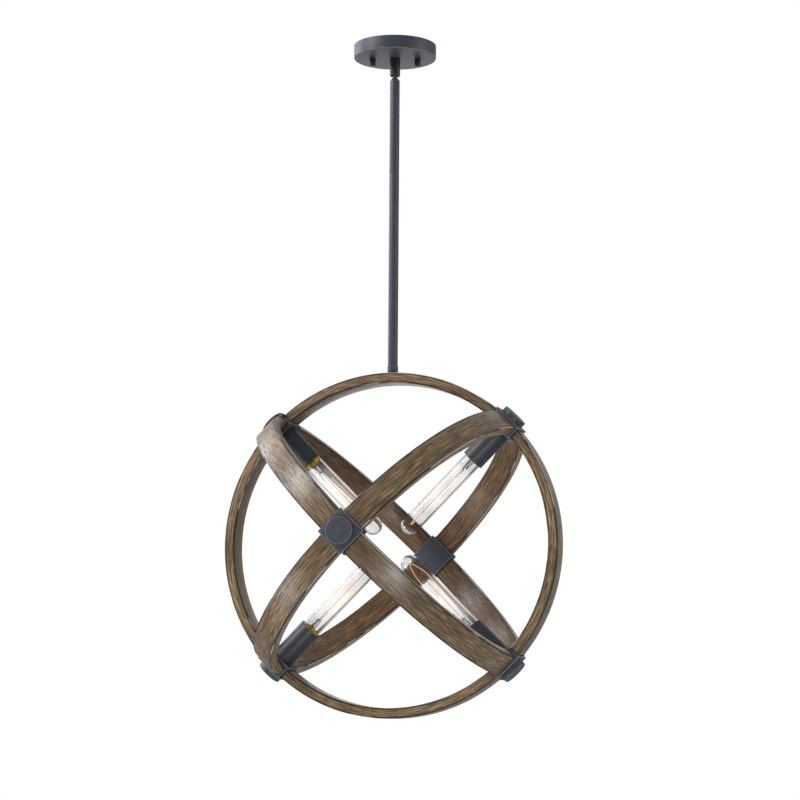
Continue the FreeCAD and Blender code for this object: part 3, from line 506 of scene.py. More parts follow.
def turn(name, outline, material, at=Matrix(), corners=None, closed=True, steps=72,
         smooth=SMOOTH_BELOW):
    """Spins an outline of (radius, height) in millimetres about the Z axis. An outline that
    isn't closed begins and ends on the axis."""
    points, marks = rounded(outline, corners or {})
    marks = [mark * TURNED_WEAR_AND_HIGHLIGHT for mark in marks]
    verts, wear, rings = [], [], []
    for (radius, height), mark in zip(points, marks):
        count = steps if radius > 0 else 1
        rings.append(range(len(verts), len(verts) + count))
        for step in range(count):
            angle = 2 * math.pi * step / steps
            verts.append((radius * math.cos(angle), radius * math.sin(angle), height))
            wear.append(mark)
    faces = []
    following = rings[1:] + rings[:1] if closed else rings[1:]
    for low, high in zip(rings, following):
        if len(low) == 1 and len(high) == 1:
            continue
        for step in range(steps):
            ring = [low[step % len(low)], low[(step + 1) % len(low)],
                    high[(step + 1) % len(high)], high[step % len(high)]]
            faces.append(tuple(dict.fromkeys(ring)))
    return finish_mesh(name, verts, faces, material, at, wear, smooth)


def boxes(name, blocks, material, at, bevel):
    """Square blocks, each (width, depth, low, high) in millimetres and centred on Z, with
    bevelled edges that are marked for rubbing and a painted highlight."""
    edit = bmesh.new()
    layer = edit.verts.layers.float.new("wear")
    for width, depth, low, high in blocks:
        size = Matrix.Diagonal((width, depth, high - low, 1))
        shift = Matrix.Translation((0, 0, (low + high) / 2))
        made = bmesh.ops.create_cube(edit, size=1, matrix=shift @ size)
        edges = list({edge for vert in made["verts"] for edge in vert.link_edges})
        bmesh.ops.bevel(edit, geom=edges, offset=bevel, segments=2, profile=0.6,
                        affect="EDGES")
    edit.normal_update()
    for vert in edit.verts:
        on_flat = any(max(map(abs, face.normal)) > 0.9999 for face in vert.link_faces)
        vert[layer] = 0.0 if on_flat else 1.0
    bmesh.ops.transform(edit, matrix=at @ Matrix.Scale(MM, 4), verts=edit.verts)
    mesh = bpy.data.meshes.new(name)
    edit.to_mesh(mesh)
    edit.free()
    return show(name, mesh, material=material)


def stand_for(piece, node):
    """The piece takes a CAD node's place, on the node's own body."""
    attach(piece, body_of_node[node])
    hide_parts(node)


print("mesh helpers ready")

# %% [markdown]
# ## Bending the bands
#
# Each hoop is made of four boards. A Geometry Nodes tree does what the maker does: it makes
# a straight board with rounded edges, remembers where each point lies on that board, and
# bends it to a quarter of a circle. The ends are sawn parallel to the middle line of the
# junction they butt on, not along the radius, so a point's share of the quarter depends on
# its own radius. One tree with named inputs serves all twelve boards.


# %% Geometry Nodes: start and end of a tree
def start_group(name, inputs, output):
    """A Geometry Nodes tree with {input name: kind}, and its inputs as values for sums."""
    group = bpy.data.node_groups.new(name, "GeometryNodeTree")
    for label, kind in inputs.items():
        group.interface.new_socket(label, in_out="INPUT", socket_type="NodeSocket" + kind)
    group.interface.new_socket(output, in_out="OUTPUT", socket_type="NodeSocketGeometry")
    entry = group.nodes.new("NodeGroupInput")
    tree = Tree(group)
    return tree, [Out(tree, entry.outputs[number]) for number in range(len(inputs))]


def end_group(tree, shape, finish):
    """Makes the shape real, paints it and hands it out."""
    real = tree.add("GeometryNodeRealizeInstances", None, shape)
    painted = tree.add("GeometryNodeSetMaterial", None, Geometry=real, Material=finish)
    leave = tree.tree.nodes.new("NodeGroupOutput")
    tree.join(painted, leave.inputs[0])
    return tree.tree


print("tree helpers ready")


# %% Geometry Nodes: bent board
def band_tree():
    tree, (radius, thickness, width, edge, core, start, steps, finish) = start_group(
        "Bent board", {"Radius": "Float", "Thickness": "Float", "Width": "Float",
                       "Edge": "Float", "Core": "Float", "Board start": "Float",
                       "Steps": "Int", "Finish": "Material"}, "Board")
    eighth = math.pi / 4
    # a straight board from -1 to 1 along Z, its section drawn in the XY plane
    line = tree.add("GeometryNodeMeshLine", None, Count=steps, Offset=(0, 0, 1))
    along = tree.add("GeometryNodeInputIndex") / (steps - 1) * 2 - 1
    placed = tree.add("GeometryNodeSetPosition", None, Geometry=line,
                      Position=tree.xyz(0, 0, along))
    path = tree.add("GeometryNodeMeshToCurve", None, placed)
    section = tree.add("GeometryNodeCurvePrimitiveQuadrilateral", None,
                       Width=thickness, Height=width)
    eased = tree.add("GeometryNodeFilletCurve", {"mode": "POLY"}, Curve=section, Count=4,
                     Radius=edge)
    board = tree.add("GeometryNodeCurveToMesh", None, path, eased, Fill_Caps=True)
    through, across, share = tree.parts(tree.add("GeometryNodeInputPosition"))
    board_place = tree.xyz(start + share * radius * eighth, across, through)
    placed_board = tree.add("GeometryNodeStoreNamedAttribute",
                            {"data_type": "FLOAT_VECTOR", "domain": "POINT"},
                            Geometry=board, Name="board", Value=board_place)
    to_end = (1 - share.math("ABSOLUTE")) * radius * eighth
    kept = tree.add("GeometryNodeStoreNamedAttribute",
                    {"data_type": "FLOAT", "domain": "POINT"}, Geometry=placed_board,
                    Name="end", Value=to_end)
    # bend: the angle's limit depends on the radius, because the ends are sawn straight
    here = radius - thickness / 2 + through
    limit = eighth - (core / 2 / here).math("ARCSINE")
    angle = share * limit
    bent = tree.add("GeometryNodeSetPosition", None, Geometry=kept, Position=tree.xyz(
        here * angle.math("COSINE"), here * angle.math("SINE"), across))
    return end_group(tree, bent, finish)


def from_tree(name, group, at, smooth=SMOOTH_BELOW, **inputs):
    """Runs a Geometry Nodes tree and gives its result as a plain mesh object."""
    holder = put_in_scene(bpy.data.objects.new(name + "_source",
                                               bpy.data.meshes.new(name + "_source")))
    modifier = holder.modifiers.new("Tree", "NODES")
    modifier.node_group = group
    for item in group.interface.items_tree:
        given = inputs.get(item.name.replace(" ", "_"))
        if item.in_out == "INPUT" and given is not None:
            modifier[item.identifier] = given
    mesh = as_mesh(holder)
    holder.modifiers.remove(modifier)
    bpy.data.objects.remove(holder)
    mesh.transform(at)
    face_outwards(mesh, merge=True)
    return show(name, mesh, smooth)


BOARD = band_tree()
print("tree", BOARD.name, "with", len(BOARD.nodes), "nodes")

# %% [markdown]
# The hidden hardware and the lamp bases are threaded. A thread is one ridge wound round a
# core. A second tree makes it from a spiral path and a round section, for any radius, pitch
# and length.


# %% Geometry Nodes: thread
def thread_tree():
    tree, (radius, ridge, turns, length, finish) = start_group(
        "Thread", {"Radius": "Float", "Ridge": "Float", "Turns": "Float",
                   "Length": "Float", "Finish": "Material"}, "Thread")
    middle = radius - ridge
    path = tree.add("GeometryNodeCurveSpiral", None, Resolution=28, Rotations=turns,
                    Start_Radius=middle, End_Radius=middle, Height=length)
    section = tree.add("GeometryNodeCurvePrimitiveCircle", None, Resolution=8, Radius=ridge)
    wound = tree.add("GeometryNodeCurveToMesh", None, path, section, Fill_Caps=True)
    return end_group(tree, wound, finish)


THREAD = thread_tree()
RIDGE_SHARE = 0.3
ROOT_SHARE = 0.45


def wind_thread(name, node, at, radius, low, high, pitch, material):
    """One ridge from low to high in millimetres, with its crest at the radius. The shares
    are parts of the pitch: the ridge's radius, and how deep the core lies below the crest."""
    ridge = pitch * RIDGE_SHARE
    length = high - low - 2 * ridge
    thread = from_tree(name, THREAD, at @ Matrix.Translation((0, 0, (low + ridge) * MM)), 60,
                       Radius=radius * MM, Ridge=ridge * MM, Turns=length / pitch,
                       Length=length * MM, Finish=material)
    stand_for(thread, node)


def threaded_rod(name, node, at, radius, low, high, pitch, bore=0.0):
    """A plated rod, or a tube when it has a bore, with a thread from end to end."""
    root = radius - pitch * ROOT_SHARE
    core = turn(f"{name}_core", sleeve(bore, root, low, high), PLATED, at,
                {1: 0.2, 2: 0.2}, closed=bore > 0, steps=40)
    stand_for(core, node)
    wind_thread(f"{name}_thread", node, at, radius, low, high, pitch, PLATED)


print("tree", THREAD.name, "with", len(THREAD.nodes), "nodes")

# %% [markdown]
# Every arc runs from one junction to the next. The upright hoop passes the four with lamps,
# and the leaning hoops join each of those to the front and the back. Each board starts at
# another place in the grain, so that no two look alike.

# %% Bend the twelve boards
BOARD_SPACING = 0.45
BOARD_STEPS = 65
ARCS = {"upright_top_arc": ("top_left", "top_right"),
        "upright_right_arc": ("top_right", "bottom_right"),
        "upright_bottom_arc": ("bottom_right", "bottom_left"),
        "upright_left_arc": ("bottom_left", "top_left")}
for face in ("front", "back"):
    for place in LAMP_JUNCTIONS:
        ARCS[f"{face}_{place}_arc"] = (face, place)

bands = {}
for number, (arc, (first, last)) in enumerate(ARCS.items()):
    start, stop = JUNCTIONS[first], JUNCTIONS[last]
    middle = (start + stop).normalized()
    axis = start.cross(stop).normalized()
    turned = Matrix((middle, axis.cross(middle), axis)).transposed().to_4x4()
    bands[arc] = from_tree(f"{arc}_band", BOARD, Matrix.Translation(ORB_MIDDLE) @ turned,
                           Radius=HOOP_RADIUS * MM, Thickness=BAND_THICKNESS * MM,
                           Width=BAND_WIDTH * MM, Edge=BAND_EDGE * MM,
                           Core=CORE_WIDTH * MM, Board_start=BOARD_SPACING * number,
                           Steps=BOARD_STEPS, Finish=WOOD)
print(len(bands), "bands,", sum(len(b.data.polygons) for b in bands.values()), "faces")

# %% [markdown]
# The rod's threaded foot ends in the top board, in a round nut that is set flush with its
# outside. A Boolean modifier cuts the hole and the nut's seat, as a drill would.

# %% Drill the top board
HOLE_RADIUS, HOLE_DEPTH = 5.1, 8.25
SEAT_RADIUS, SEAT_DEPTH = 7.1, 4
ABOVE = 5
top_z = ORB_MIDDLE.z / MM + HOOP_RADIUS
drill = turn("foot_drill", [
    (0, top_z - HOLE_DEPTH), (HOLE_RADIUS, top_z - HOLE_DEPTH),
    (HOLE_RADIUS, top_z - SEAT_DEPTH), (SEAT_RADIUS, top_z - SEAT_DEPTH),
    (SEAT_RADIUS, top_z + ABOVE), (0, top_z + ABOVE)], WOOD)
cut = bands["upright_top_arc"].modifiers.new("Drill", "BOOLEAN")
cut.object = drill
cut.solver = "EXACT"
drilled = as_mesh(bands["upright_top_arc"])
bands["upright_top_arc"].modifiers.clear()
bands["upright_top_arc"].data = drilled
bpy.data.objects.remove(drill)
for arc, band in bands.items():
    stand_for(band, arc)
print("top board has", len(drilled.polygons), "faces after drilling")

# %% [markdown]
# ## Junctions
#
# Each junction is a cast block that the four bands butt on, with a wider plate inside and
# one outside, and a round cap screwed on from outside. The plates' edges are crisp but not
# sharp, so they get a narrow bevel that catches the light. It is real geometry, because a
# bevel in the shader alone would leave the outline sharp. The bevel's middle is painted
# paler, partly rubbed coat and partly a painted highlight.

# %% Blocks, plates and caps
core_out = math.sqrt(HOOP_RADIUS ** 2 - (CORE_WIDTH / 2) ** 2)
core_in = math.sqrt((HOOP_RADIUS - BAND_THICKNESS) ** 2 - (PLATE_WIDTH / 2) ** 2)
PLATE = 3.8
CAP_RADIUS, CAP_HEIGHT = 19.5, 8.8
CASTING_BEVEL, PLATE_BEVEL = 0.8, 0.9
cap_seat = core_out + PLATE
cap_top = cap_seat + CAP_HEIGHT
cup_seat = core_in - PLATE
for place, at in FRAMES.items():
    casting = boxes(f"{place}_casting", [(CORE_WIDTH, CORE_WIDTH, core_in - 0.5, core_out),
                                         (PLATE_WIDTH, PLATE_WIDTH, cup_seat, core_in)],
                    CHARCOAL, at, CASTING_BEVEL)
    stand_for(casting, f"{place}_junction")
    plate = boxes(f"{place}_plate", [(PLATE_WIDTH, PLATE_WIDTH, core_out, cap_seat)],
                  CHARCOAL, at, PLATE_BEVEL)
    stand_for(plate, "outer_plates")
    cap = turn(f"{place}_cap", sleeve(0, CAP_RADIUS, cap_seat, cap_top), CHARCOAL, at,
               {2: 0.9}, closed=False)
    stand_for(cap, "junction_caps")
print(len(FRAMES), "junctions, caps reach", round(cap_top, 1), "mm")

# %% [markdown]
# ## Lamp sockets
#
# A metal cup hides a porcelain holder with a brass screw shell. Looking into the cup's mouth,
# the shell's bright rim shows between the cup and the glass. All three are turned. Places
# along a junction's line are counted from the orb's middle, and the sizes across are radii.

# %% Cups, holders and shells
NIPPLE_HOLE = 5.0
SEAT_ACROSS, SEAT_HEIGHT = 15.5, 2.2
CUP_OUTSIDE, CUP_INSIDE, CUP_LENGTH, CUP_FLOOR = 17.5, 16.0, 60.0, 2.0
HOLDER_OUTSIDE, HOLDER_INSIDE, HOLDER_DEPTH, HOLDER_INSET = 15.6, 14.15, 21.9, 5.0
SHELL_INSIDE, SHELL_OUTSIDE = 13.45, 14.05
LIP_INSIDE, LIP_OUTSIDE, LIP_LENGTH = 14.75, 15.35, 4
RIM, LAMP_GAP = 1, 1.1
cup_top = cup_seat - SEAT_HEIGHT
cup_mouth = cup_top - CUP_LENGTH
cup_floor = cup_top - CUP_FLOOR
holder_floor = cup_floor - HOLDER_DEPTH
holder_mouth = cup_mouth + HOLDER_INSET
lamp_end = holder_floor - LAMP_GAP
for place in LAMP_JUNCTIONS:
    at = FRAMES[place]
    cup = turn(f"{place}_socket_cup", [
        (NIPPLE_HOLE, cup_seat), (SEAT_ACROSS, cup_seat), (SEAT_ACROSS, cup_top),
        (CUP_OUTSIDE, cup_top), (CUP_OUTSIDE, cup_mouth), (CUP_INSIDE, cup_mouth),
        (CUP_INSIDE, cup_floor), (NIPPLE_HOLE, cup_floor)],
        SHADED_CUP_COAT, at, {1: 0.4, 3: 0.9, 4: 0.5, 5: 0.4}, steps=96)
    stand_for(cup, f"{place}_cup")
    holder = turn(f"{place}_holder", [
        (NIPPLE_HOLE, cup_floor), (HOLDER_OUTSIDE, cup_floor), (HOLDER_OUTSIDE, holder_mouth),
        (HOLDER_INSIDE, holder_mouth), (HOLDER_INSIDE, holder_floor),
        (NIPPLE_HOLE, holder_floor)], PORCELAIN, at, {2: 0.4, 3: 0.3})
    stand_for(holder, "lampholders")
    shell = turn(f"{place}_shell", [
        (SHELL_INSIDE, holder_floor), (SHELL_OUTSIDE, holder_floor),
        (SHELL_OUTSIDE, holder_mouth), (LIP_OUTSIDE, holder_mouth),
        (LIP_OUTSIDE, holder_mouth - LIP_LENGTH), (LIP_INSIDE, holder_mouth - LIP_LENGTH),
        (LIP_INSIDE, holder_mouth - RIM), (SHELL_INSIDE, holder_mouth - RIM)],
        LIT_BRASS, at, {3: 0.3, 4: 0.2, 5: 0.2, 7: 0.5}, steps=96)
    stand_for(shell, "screw_shells")
print("cups reach from", round(cup_seat, 1), "to", round(cup_mouth, 1), "mm")

# %% [markdown]
# ## Lamps
#
# Each lamp is a long clear tube with a round tip, a brass base, a glass stem with its lead
# wires, and one long hairpin filament held by a hook near the tip. The glass is a closed
# shell with two surfaces, because one surface alone would bend light like a solid rod.

# %% Tubes with their bases
TIP = 27.46
TUBE_RADIUS, TUBE_NECK, TUBE_WALL = 14.25, 12.2, 1.2
NECK_FROM_END, SHOULDER_FROM_END = 28.0, 37.0
SHOULDER_STEPS, DOME_STEPS = 8, 16
BASE_LENGTH, BASE_RADIUS, BASE_PITCH = 27.0, 13.1, 3.6
lamp_rim = lamp_end - BASE_LENGTH
neck_top = lamp_rim + 10.5


def tube_outline(inset):
    """Half outline of the glass from neck to tip, drawn inside the surface by inset."""
    radius = TUBE_RADIUS - inset
    neck = TUBE_NECK - inset
    narrow, wide = lamp_end - NECK_FROM_END, lamp_end - SHOULDER_FROM_END
    points = [(neck, neck_top), (neck, narrow)]
    for step in range(1, SHOULDER_STEPS):
        t = step / SHOULDER_STEPS
        ease = t * t * (3 - 2 * t)
        points.append((neck + (radius - neck) * ease, narrow + (wide - narrow) * t))
    points.append((radius, wide))
    dome = TIP + TUBE_RADIUS
    for step in range(DOME_STEPS + 1):
        angle = math.pi / 2 * step / DOME_STEPS
        points.append((radius * math.cos(angle), dome - radius * math.sin(angle)))
    points[-1] = (0, dome - radius)
    return points


for place in LAMP_JUNCTIONS:
    at = FRAMES[place]
    outline = tube_outline(0) + tube_outline(TUBE_WALL)[::-1]
    glass = turn(f"{place}_tube", outline, GLASS, at, steps=144, smooth=50)
    stand_for(glass, f"{place}_bulb_glass")
    base = turn(f"{place}_base", [
        (12.3, lamp_rim), (BASE_RADIUS, lamp_rim), (BASE_RADIUS, lamp_rim + 1.6),
        (12.5, lamp_rim + 2.2), (12.5, lamp_rim + 19), (11.3, lamp_rim + 20.5),
        (10.8, lamp_rim + 20.5), (12.3, lamp_rim + 18.5)], BRASS, at,
        {1: 0.3, 2: 0.3, 4: 0.8})
    wind_thread(f"{place}_base_thread", f"{place}_bulb_base", at, BASE_RADIUS,
                lamp_rim + 3, lamp_rim + 19, BASE_PITCH, BRASS)
    insulator = turn(f"{place}_insulator", [
        (0, lamp_rim + 20), (11.2, lamp_rim + 20), (11.2, lamp_rim + 20.6),
        (6.0, lamp_end - 1), (0, lamp_end - 1)], INSULATOR, at, {2: 0.4, 3: 0.5},
        closed=False)
    contact = turn(f"{place}_end_contact", sleeve(0, 4.5, lamp_end - 1.4, lamp_end), BRASS,
                   at, {2: 0.8}, closed=False, steps=40)
    for piece in (base, insulator, contact):
        stand_for(piece, f"{place}_bulb_base")
print("tube", round(lamp_end - TIP, 1), "mm long")

# %% [markdown]
# The filament is a thin wire in a hairpin, so it is swept along a path. A curve with a round
# bevel does that, and is turned into a plain mesh. The stem is a turned piece of glass that
# stands inside the neck. ROLL turns each lamp about its own line by some degrees, so that
# its hairpin shows from the side that the photograph shows.


# %% Wires and stems
def wire(name, paths, radius, material, at):
    """Round wires along lists of millimetre points, as one mesh."""
    curve = bpy.data.curves.new(name, "CURVE")
    curve.dimensions = "3D"
    curve.bevel_depth = radius
    curve.bevel_resolution = 3
    curve.use_fill_caps = True
    for path in paths:
        spline = curve.splines.new("POLY")
        spline.points.add(len(path) - 1)
        for point, where in zip(spline.points, path):
            point.co = (*where, 1)
    holder = put_in_scene(bpy.data.objects.new(name, curve))
    mesh = as_mesh(holder)
    bpy.data.objects.remove(holder)
    verts = [tuple(v.co) for v in mesh.vertices]
    faces = [tuple(p.vertices) for p in mesh.polygons]
    bpy.data.meshes.remove(mesh)
    return finish_mesh(name, verts, faces, material, at)


FILAMENT_RADIUS, LEAD_RADIUS = 0.42, 0.32
ARCH_AT, ARCH_RADIUS = 43.0, 3.2
SPREAD_OUT, SPREAD_ALONG = 8.6, 26
FOOT_OUT, FOOT_AT = 5.6, 141.0


def mirrored_path(path):
    return [(-x, y, z) for x, y, z in path]


def hairpin():
    """From the foot of one leg to the arch and back. The legs spread below the arch."""
    start = ARCH_AT + ARCH_RADIUS
    bend = [(ARCH_RADIUS * math.cos(a), 0, start - ARCH_RADIUS * math.sin(a))
            for a in np.linspace(0, math.pi, 13)]
    spread = [(ARCH_RADIUS + (SPREAD_OUT - ARCH_RADIUS) * math.sin(t * math.pi / 2), 0,
               start + SPREAD_ALONG * t) for t in (0.15, 0.3, 0.6, 1.0)]
    leg = [(FOOT_OUT, 0, FOOT_AT)] + spread[::-1]
    return leg + bend + mirrored_path(leg[::-1])


ROLL = {"top_left": 20, "top_right": 88, "bottom_left": 60, "bottom_right": 5}
lead = [(FOOT_OUT, 0, FOOT_AT), (5.2, 0, 150), (2.4, 0, 164), (2.4, 0, neck_top)]
hook = [(0, 0, 160), (0, 0, 47), (0, 1.2, 44.5), (0, 0, ARCH_AT)]
for place in LAMP_JUNCTIONS:
    at = FRAMES[place] @ Matrix.Rotation(math.radians(ROLL[place]), 4, "Z")
    glow = wire(f"{place}_filament", [hairpin()], FILAMENT_RADIUS, FILAMENT, at)
    leads = wire(f"{place}_leads", [lead, mirrored_path(lead), hook], LEAD_RADIUS, WIRE, at)
    stem = turn(f"{place}_stem", [
        (0, 157), (2.2, 157.5), (3.4, 160), (3.2, 163), (3.9, 168), (4.6, 180),
        (7.5, neck_top - 3), (11.6, neck_top), (11.6, neck_top + 1), (0, neck_top + 1)],
        STEM_GLASS, at, closed=False, steps=40)
    for piece in (glow, leads, stem):
        stand_for(piece, f"{place}_filament_mount")
print("lamp wires made for", ", ".join(LAMP_JUNCTIONS))

# %% [markdown]
# ## Canopy, swivel and rod
#
# All are turned, in the photograph's dark coats. The canopy is a shallow cup with a flat
# underside, and the swivel's collar and the two long cap nuts are nearly black. The nuts sit
# on the strap's studs, and the strap is turned as the photograph shows. Heights are counted
# from the ceiling, and down is negative.

# %% Turned pieces above the orb
NIPPLE_RADIUS, PASSAGE = 4.8, 4.9
CANOPY_RADIUS, CANOPY_HEIGHT, CANOPY_WALL = 63.5, 20, 1.2
SIDES = {"left": -1, "right": 1}
STUD_PLACE, BOX_SCREW_PLACE = 34.925, 44.45
BAR_TURN = Matrix.Rotation(math.radians(16), 4, "Z")
CAP_NUT_RADIUS, CAP_NUT_LENGTH = 4.8, 12.4
COLLAR_RADIUS, COLLAR_END = 8, -48.5
NECK_LENGTH, CONE_LENGTH, HEAD_RIM = 3.0, 4.0, 0.8
ROD_RADIUS, ROD_BORE = 7.5, 5.7
UPPER_STEM_LENGTH = 148.0
FOOT_RADIUS, FOOT_HEIGHT = 8.2, 12.4


def on_bar(distance):
    """A place out along the turned strap, in millimetres."""
    return BAR_TURN @ Matrix.Translation((distance * MM, 0, 0))


canopy_inside = CANOPY_WALL - CANOPY_HEIGHT
canopy = turn("canopy_cover", [
    (PASSAGE, -CANOPY_HEIGHT), (CANOPY_RADIUS, -CANOPY_HEIGHT), (CANOPY_RADIUS, 0),
    (CANOPY_RADIUS - CANOPY_WALL, 0), (CANOPY_RADIUS - CANOPY_WALL, canopy_inside),
    (PASSAGE, canopy_inside)],
    CHARCOAL, corners={1: 1.0, 2: 0.4, 3: 0.3}, steps=160)
stand_for(canopy, "canopy")
nut_end = -CANOPY_HEIGHT - CAP_NUT_LENGTH
for word, side in SIDES.items():
    nut = turn(f"cap_nut_{word}", sleeve(0, CAP_NUT_RADIUS, nut_end, -CANOPY_HEIGHT), BLACK,
               on_bar(side * STUD_PLACE), {1: 1.0, 2: 0.3}, closed=False)
    stand_for(nut, "cap_nuts")
collar = turn("collar", [
    (PASSAGE, -CANOPY_HEIGHT), (COLLAR_RADIUS, -CANOPY_HEIGHT),
    (COLLAR_RADIUS, COLLAR_END), (5.8, COLLAR_END), (5.0, -45.7), (7, -45.7), (7, -30),
    (PASSAGE, -30)], BLACK, corners={1: 0.3, 2: 2.2})
stand_for(collar, "swivel_collar")
neck_end = COLLAR_END - NECK_LENGTH
cone_end = neck_end - CONE_LENGTH
stem_top = cone_end - HEAD_RIM
stem_joint = stem_top - UPPER_STEM_LENGTH
stem_end = top_z + FOOT_HEIGHT
head = turn("swivel_head", [
    (2.25, -37.5), (3.9, -38.6), (5.1, -40.4), (5.5, -42.5), (5.1, -44.6), (3.8, -46.5),
    (3.8, neck_end), (4.2, neck_end), (ROD_RADIUS, cone_end), (ROD_RADIUS, stem_top),
    (NIPPLE_RADIUS, stem_top), (NIPPLE_RADIUS, stem_top - 13), (2.25, stem_top - 13)],
    CHARCOAL, corners={8: 0.5, 9: 0.2})
stand_for(head, "ball_head")
for name, high, low in (("upper_stem", stem_top, stem_joint),
                        ("lower_stem", stem_joint, stem_end)):
    tube = turn(f"{name}_tube", sleeve(ROD_BORE, ROD_RADIUS, high, low), CHARCOAL,
                corners={1: 0.35, 2: 0.35})
    stand_for(tube, name)
foot = turn("rod_foot", sleeve(PASSAGE, FOOT_RADIUS, top_z, stem_end), CHARCOAL,
            corners={1: 0.5, 2: 0.5})
stand_for(foot, "stem_foot")
print("rod joint at", round(stem_joint, 1), "mm, foot on", round(top_z, 1), "mm")

# %% [markdown]
# ## Threaded hardware
#
# Studs and box screws stand on the turned strap. The studs hang down through the canopy, and
# the screws go up into the outlet box. The tubes with a bore carry the wires.

# %% Studs, screws and threaded tubes
SCREW_RADIUS, SCREW_PITCH = 2.0, 0.8
NIPPLE_PITCH, NIPPLE_BORE, NIPPLE_ENTRY = 0.94, 3.25, 12
STUD_ENDS, BOX_SCREW_ENDS = (-27.5, -1.0), (0.0, 11.0)
SWIVEL_NIPPLE_ENDS, FOOT_NIPPLE_ENDS = (-29.0, -10.8), (-519.05, -489.9)


def nipple(name, node, low, high, at=Matrix()):
    threaded_rod(name, node, at, NIPPLE_RADIUS, low, high, NIPPLE_PITCH, NIPPLE_BORE)


for word, side in SIDES.items():
    threaded_rod(f"canopy_stud_{word}", "canopy_studs", on_bar(side * STUD_PLACE),
                 SCREW_RADIUS, *STUD_ENDS, SCREW_PITCH)
    at = on_bar(side * BOX_SCREW_PLACE)
    screw = turn(f"box_screw_{word}_head", [
        (0, -4.6), (1.0, -4.6), (1.4, -5.4), (3.2, -5.4), (3.8, -4.6), (3.8, -3.0),
        (1.7, -3.0), (1.7, 0.2), (0, 0.2)], PLATED, at, {3: 0.5, 4: 0.5}, closed=False,
        steps=48)
    stand_for(screw, "box_screws")
    threaded_rod(f"box_screw_{word}", "box_screws", at, SCREW_RADIUS, *BOX_SCREW_ENDS,
                 SCREW_PITCH)
nipple("swivel_nipple_tube", "swivel_nipple", *SWIVEL_NIPPLE_ENDS)
nipple("stem_joiner_tube", "stem_joiner", stem_joint - NIPPLE_ENTRY,
       stem_joint + NIPPLE_ENTRY)
nipple("foot_nipple_tube", "foot_nipple", *FOOT_NIPPLE_ENDS)
for place in LAMP_JUNCTIONS:
    nipple(f"{place}_nipple", "socket_nipples", cup_floor - 8, core_in + 6, FRAMES[place])
print("threads wound")

# %% [markdown]
# ## Finishes on the CAD pieces that stay
#
# The hidden hardware keeps its CAD meshes, with the finish that its record slot names.

# %% Paint the CAD nodes
FINISH = {"wood": WOOD, "charcoal_metal": CHARCOAL, "black_metal": BLACK,
          "plated_steel": PLATED, "green_screw": GREEN, "brass": BRASS,
          "porcelain": PORCELAIN, "clear_glass": GLASS, "lamp_stem": STEM_GLASS}
slots = {entry["node"]: entry["material_slot"] for entry in frame["record"]["subparts"]}
for name, node in nodes.items():
    node.data.materials.clear()
    node.data.materials.append(FINISH[slots[name]])
print(sum(not node.hide_render for node in nodes.values()), "CAD nodes still show")

# %% [markdown]
# ## Studio
#
# The photograph has plain white all round and soft light from the left and above. The world
# is plain white for the camera. Seen through glass, it is a bright panel straight behind the
# orb with a dim room round it. The sides of a tube bend the view off the panel, and that
# draws its outlines. What mirrors it shows a dim room, with a brighter ceiling and some of
# the panel. All else gets an even, gentler light.
#
# Six lamps do the rest. The camera doesn't see them, and they don't show through glass. The
# key lamp stands in front on the left, above the orb. low_left stands under it and lifts the
# lower bands. The two rim lamps on the left and right give the sheen on the outer faces of
# the hoops. glare is small, low and in front, for the light patch on the front band. low_back
# stands behind and is weak. A pale floor far below only shows in other views.

# %% World, lights and floor
PANEL_WAY = (-0.27, 0.953, 0.136)
EVEN_LIGHT = 0.38
LAMPS_AIM = Vector((0, 0, -0.7))
FLOOR_HEIGHT, FLOOR_REACH = -3.6, 40
world = bpy.context.scene.world = bpy.data.worlds.new("studio")
world.use_nodes = True
sky = Tree(world.node_tree)
rays = world.node_tree.nodes.new("ShaderNodeLightPath")
to_camera = Out(sky, rays.outputs["Is Camera Ray"])
through = Out(sky, rays.outputs["Is Transmission Ray"])
mirrored = Out(sky, rays.outputs["Is Glossy Ray"]) * (1 - through)
way = sky.add("ShaderNodeTexCoord")
up = sky.parts(way)[2]
straight_on = sky.compare("DOT_PRODUCT", way, PANEL_WAY)
seen_through = straight_on.spread(0.80, 0.972, 0.08, 0.97)
seen_mirrored = 0.20 + up.spread(0.1, 0.8, 0.0, 0.5) + straight_on.spread(0.6, 0.95, 0.0, 0.3)
others = (1 - through - mirrored) * EVEN_LIGHT
strength = to_camera + (1 - to_camera) * (through * seen_through + mirrored * seen_mirrored
                                          + others)
background = world.node_tree.nodes["Background"]
background.inputs["Color"].default_value = (1, 1, 1, 1)
sky.join(strength, background.inputs["Strength"])


def soft_light(name, where, size, power, spread=180):
    """A square lamp of this size in metres and power in watts that faces the orb, its beam
    narrowed to spread degrees."""
    data = bpy.data.lights.new(name, "AREA")
    data.shape = "SQUARE"
    data.size = size
    data.energy = power
    data.spread = math.radians(spread)
    lamp = bpy.data.objects.new(name, data)
    lamp.location = where
    aim = LAMPS_AIM - lamp.location
    lamp.rotation_euler = aim.to_track_quat("-Z", "Y").to_euler()
    lamp.visible_camera = lamp.visible_transmission = False
    put_in_scene(lamp)


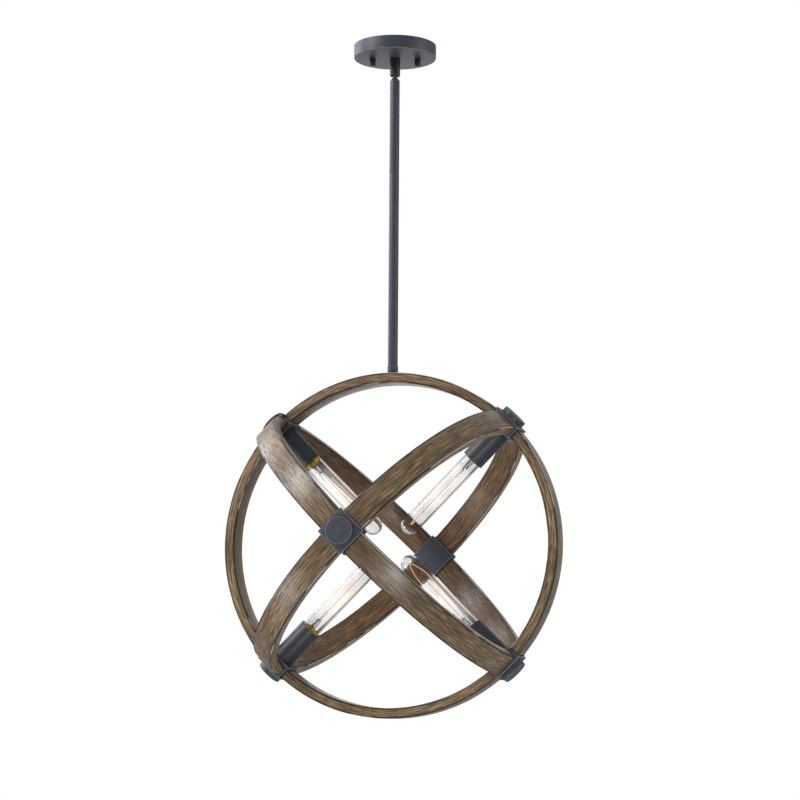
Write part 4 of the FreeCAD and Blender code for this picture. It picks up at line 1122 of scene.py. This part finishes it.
soft_light("key", (-2.7, -1.9, 1.3), 1.1, 104)
soft_light("low_left", (-2.75, -1.5, -2.1), 1.0, 34)
soft_light("left_rim", (-2.8, 0.9, 0.4), 1.6, 48)
soft_light("right_rim", (3.1, 0.1, 0.2), 1.6, 36)
soft_light("glare", (0.95, -2.75, -1.95), 0.35, 3.2, spread=60)
soft_light("low_back", (-0.65, 2.3, -0.75), 1.2, 5)

floor_mesh = bpy.data.meshes.new("floor")
corners = [(FLOOR_REACH * x, FLOOR_REACH * y, FLOOR_HEIGHT)
           for x, y in ((-1, -1), (1, -1), (1, 1), (-1, 1))]
floor_mesh.from_pydata(corners, [], [(0, 1, 2, 3)])
floor_paint, _, _ = new_material("pale_floor", Base_Color=(0.86, 0.86, 0.86, 1), Roughness=0.9)
floor = show("floor", floor_mesh, material=floor_paint)
print(len(bpy.data.lights), "lamps and a floor")

# %% [markdown]
# ## Camera
#
# The camera was worked out from the photograph: it stands to the right of the upright hoop's
# axis, a little lower than the orb, and looks slightly up. The orb in the photograph hangs
# about two thirds of a degree askew of its rod, so a small roll shares that out.

# %% Camera
AZIMUTH, PITCH, ROLL_ANGLE = (math.radians(angle) for angle in (15.745, 7.79, 0.4))
CAMERA_PLACE = Vector((994.5, -3485.7, -1049.7))
LENS, SENSOR_WIDTH, CLIP_END = 108.3, 36.0, 50.0
camera = bpy.data.objects.new("camera", bpy.data.cameras.new("camera"))
camera.data.lens = LENS
camera.data.sensor_width = SENSOR_WIDTH
camera.data.clip_end = CLIP_END
camera.location = CAMERA_PLACE * MM
look = Vector((-math.sin(AZIMUTH) * math.cos(PITCH), math.cos(AZIMUTH) * math.cos(PITCH),
               math.sin(PITCH)))
level = look.to_track_quat("-Z", "Y").to_matrix().to_4x4()
camera.rotation_euler = (level @ Matrix.Rotation(ROLL_ANGLE, 4, "Z")).to_euler()
bpy.context.scene.camera = put_in_scene(camera)
bpy.context.scene.view_settings.view_transform = "Standard"
print("camera with a lens of", LENS, "mm")
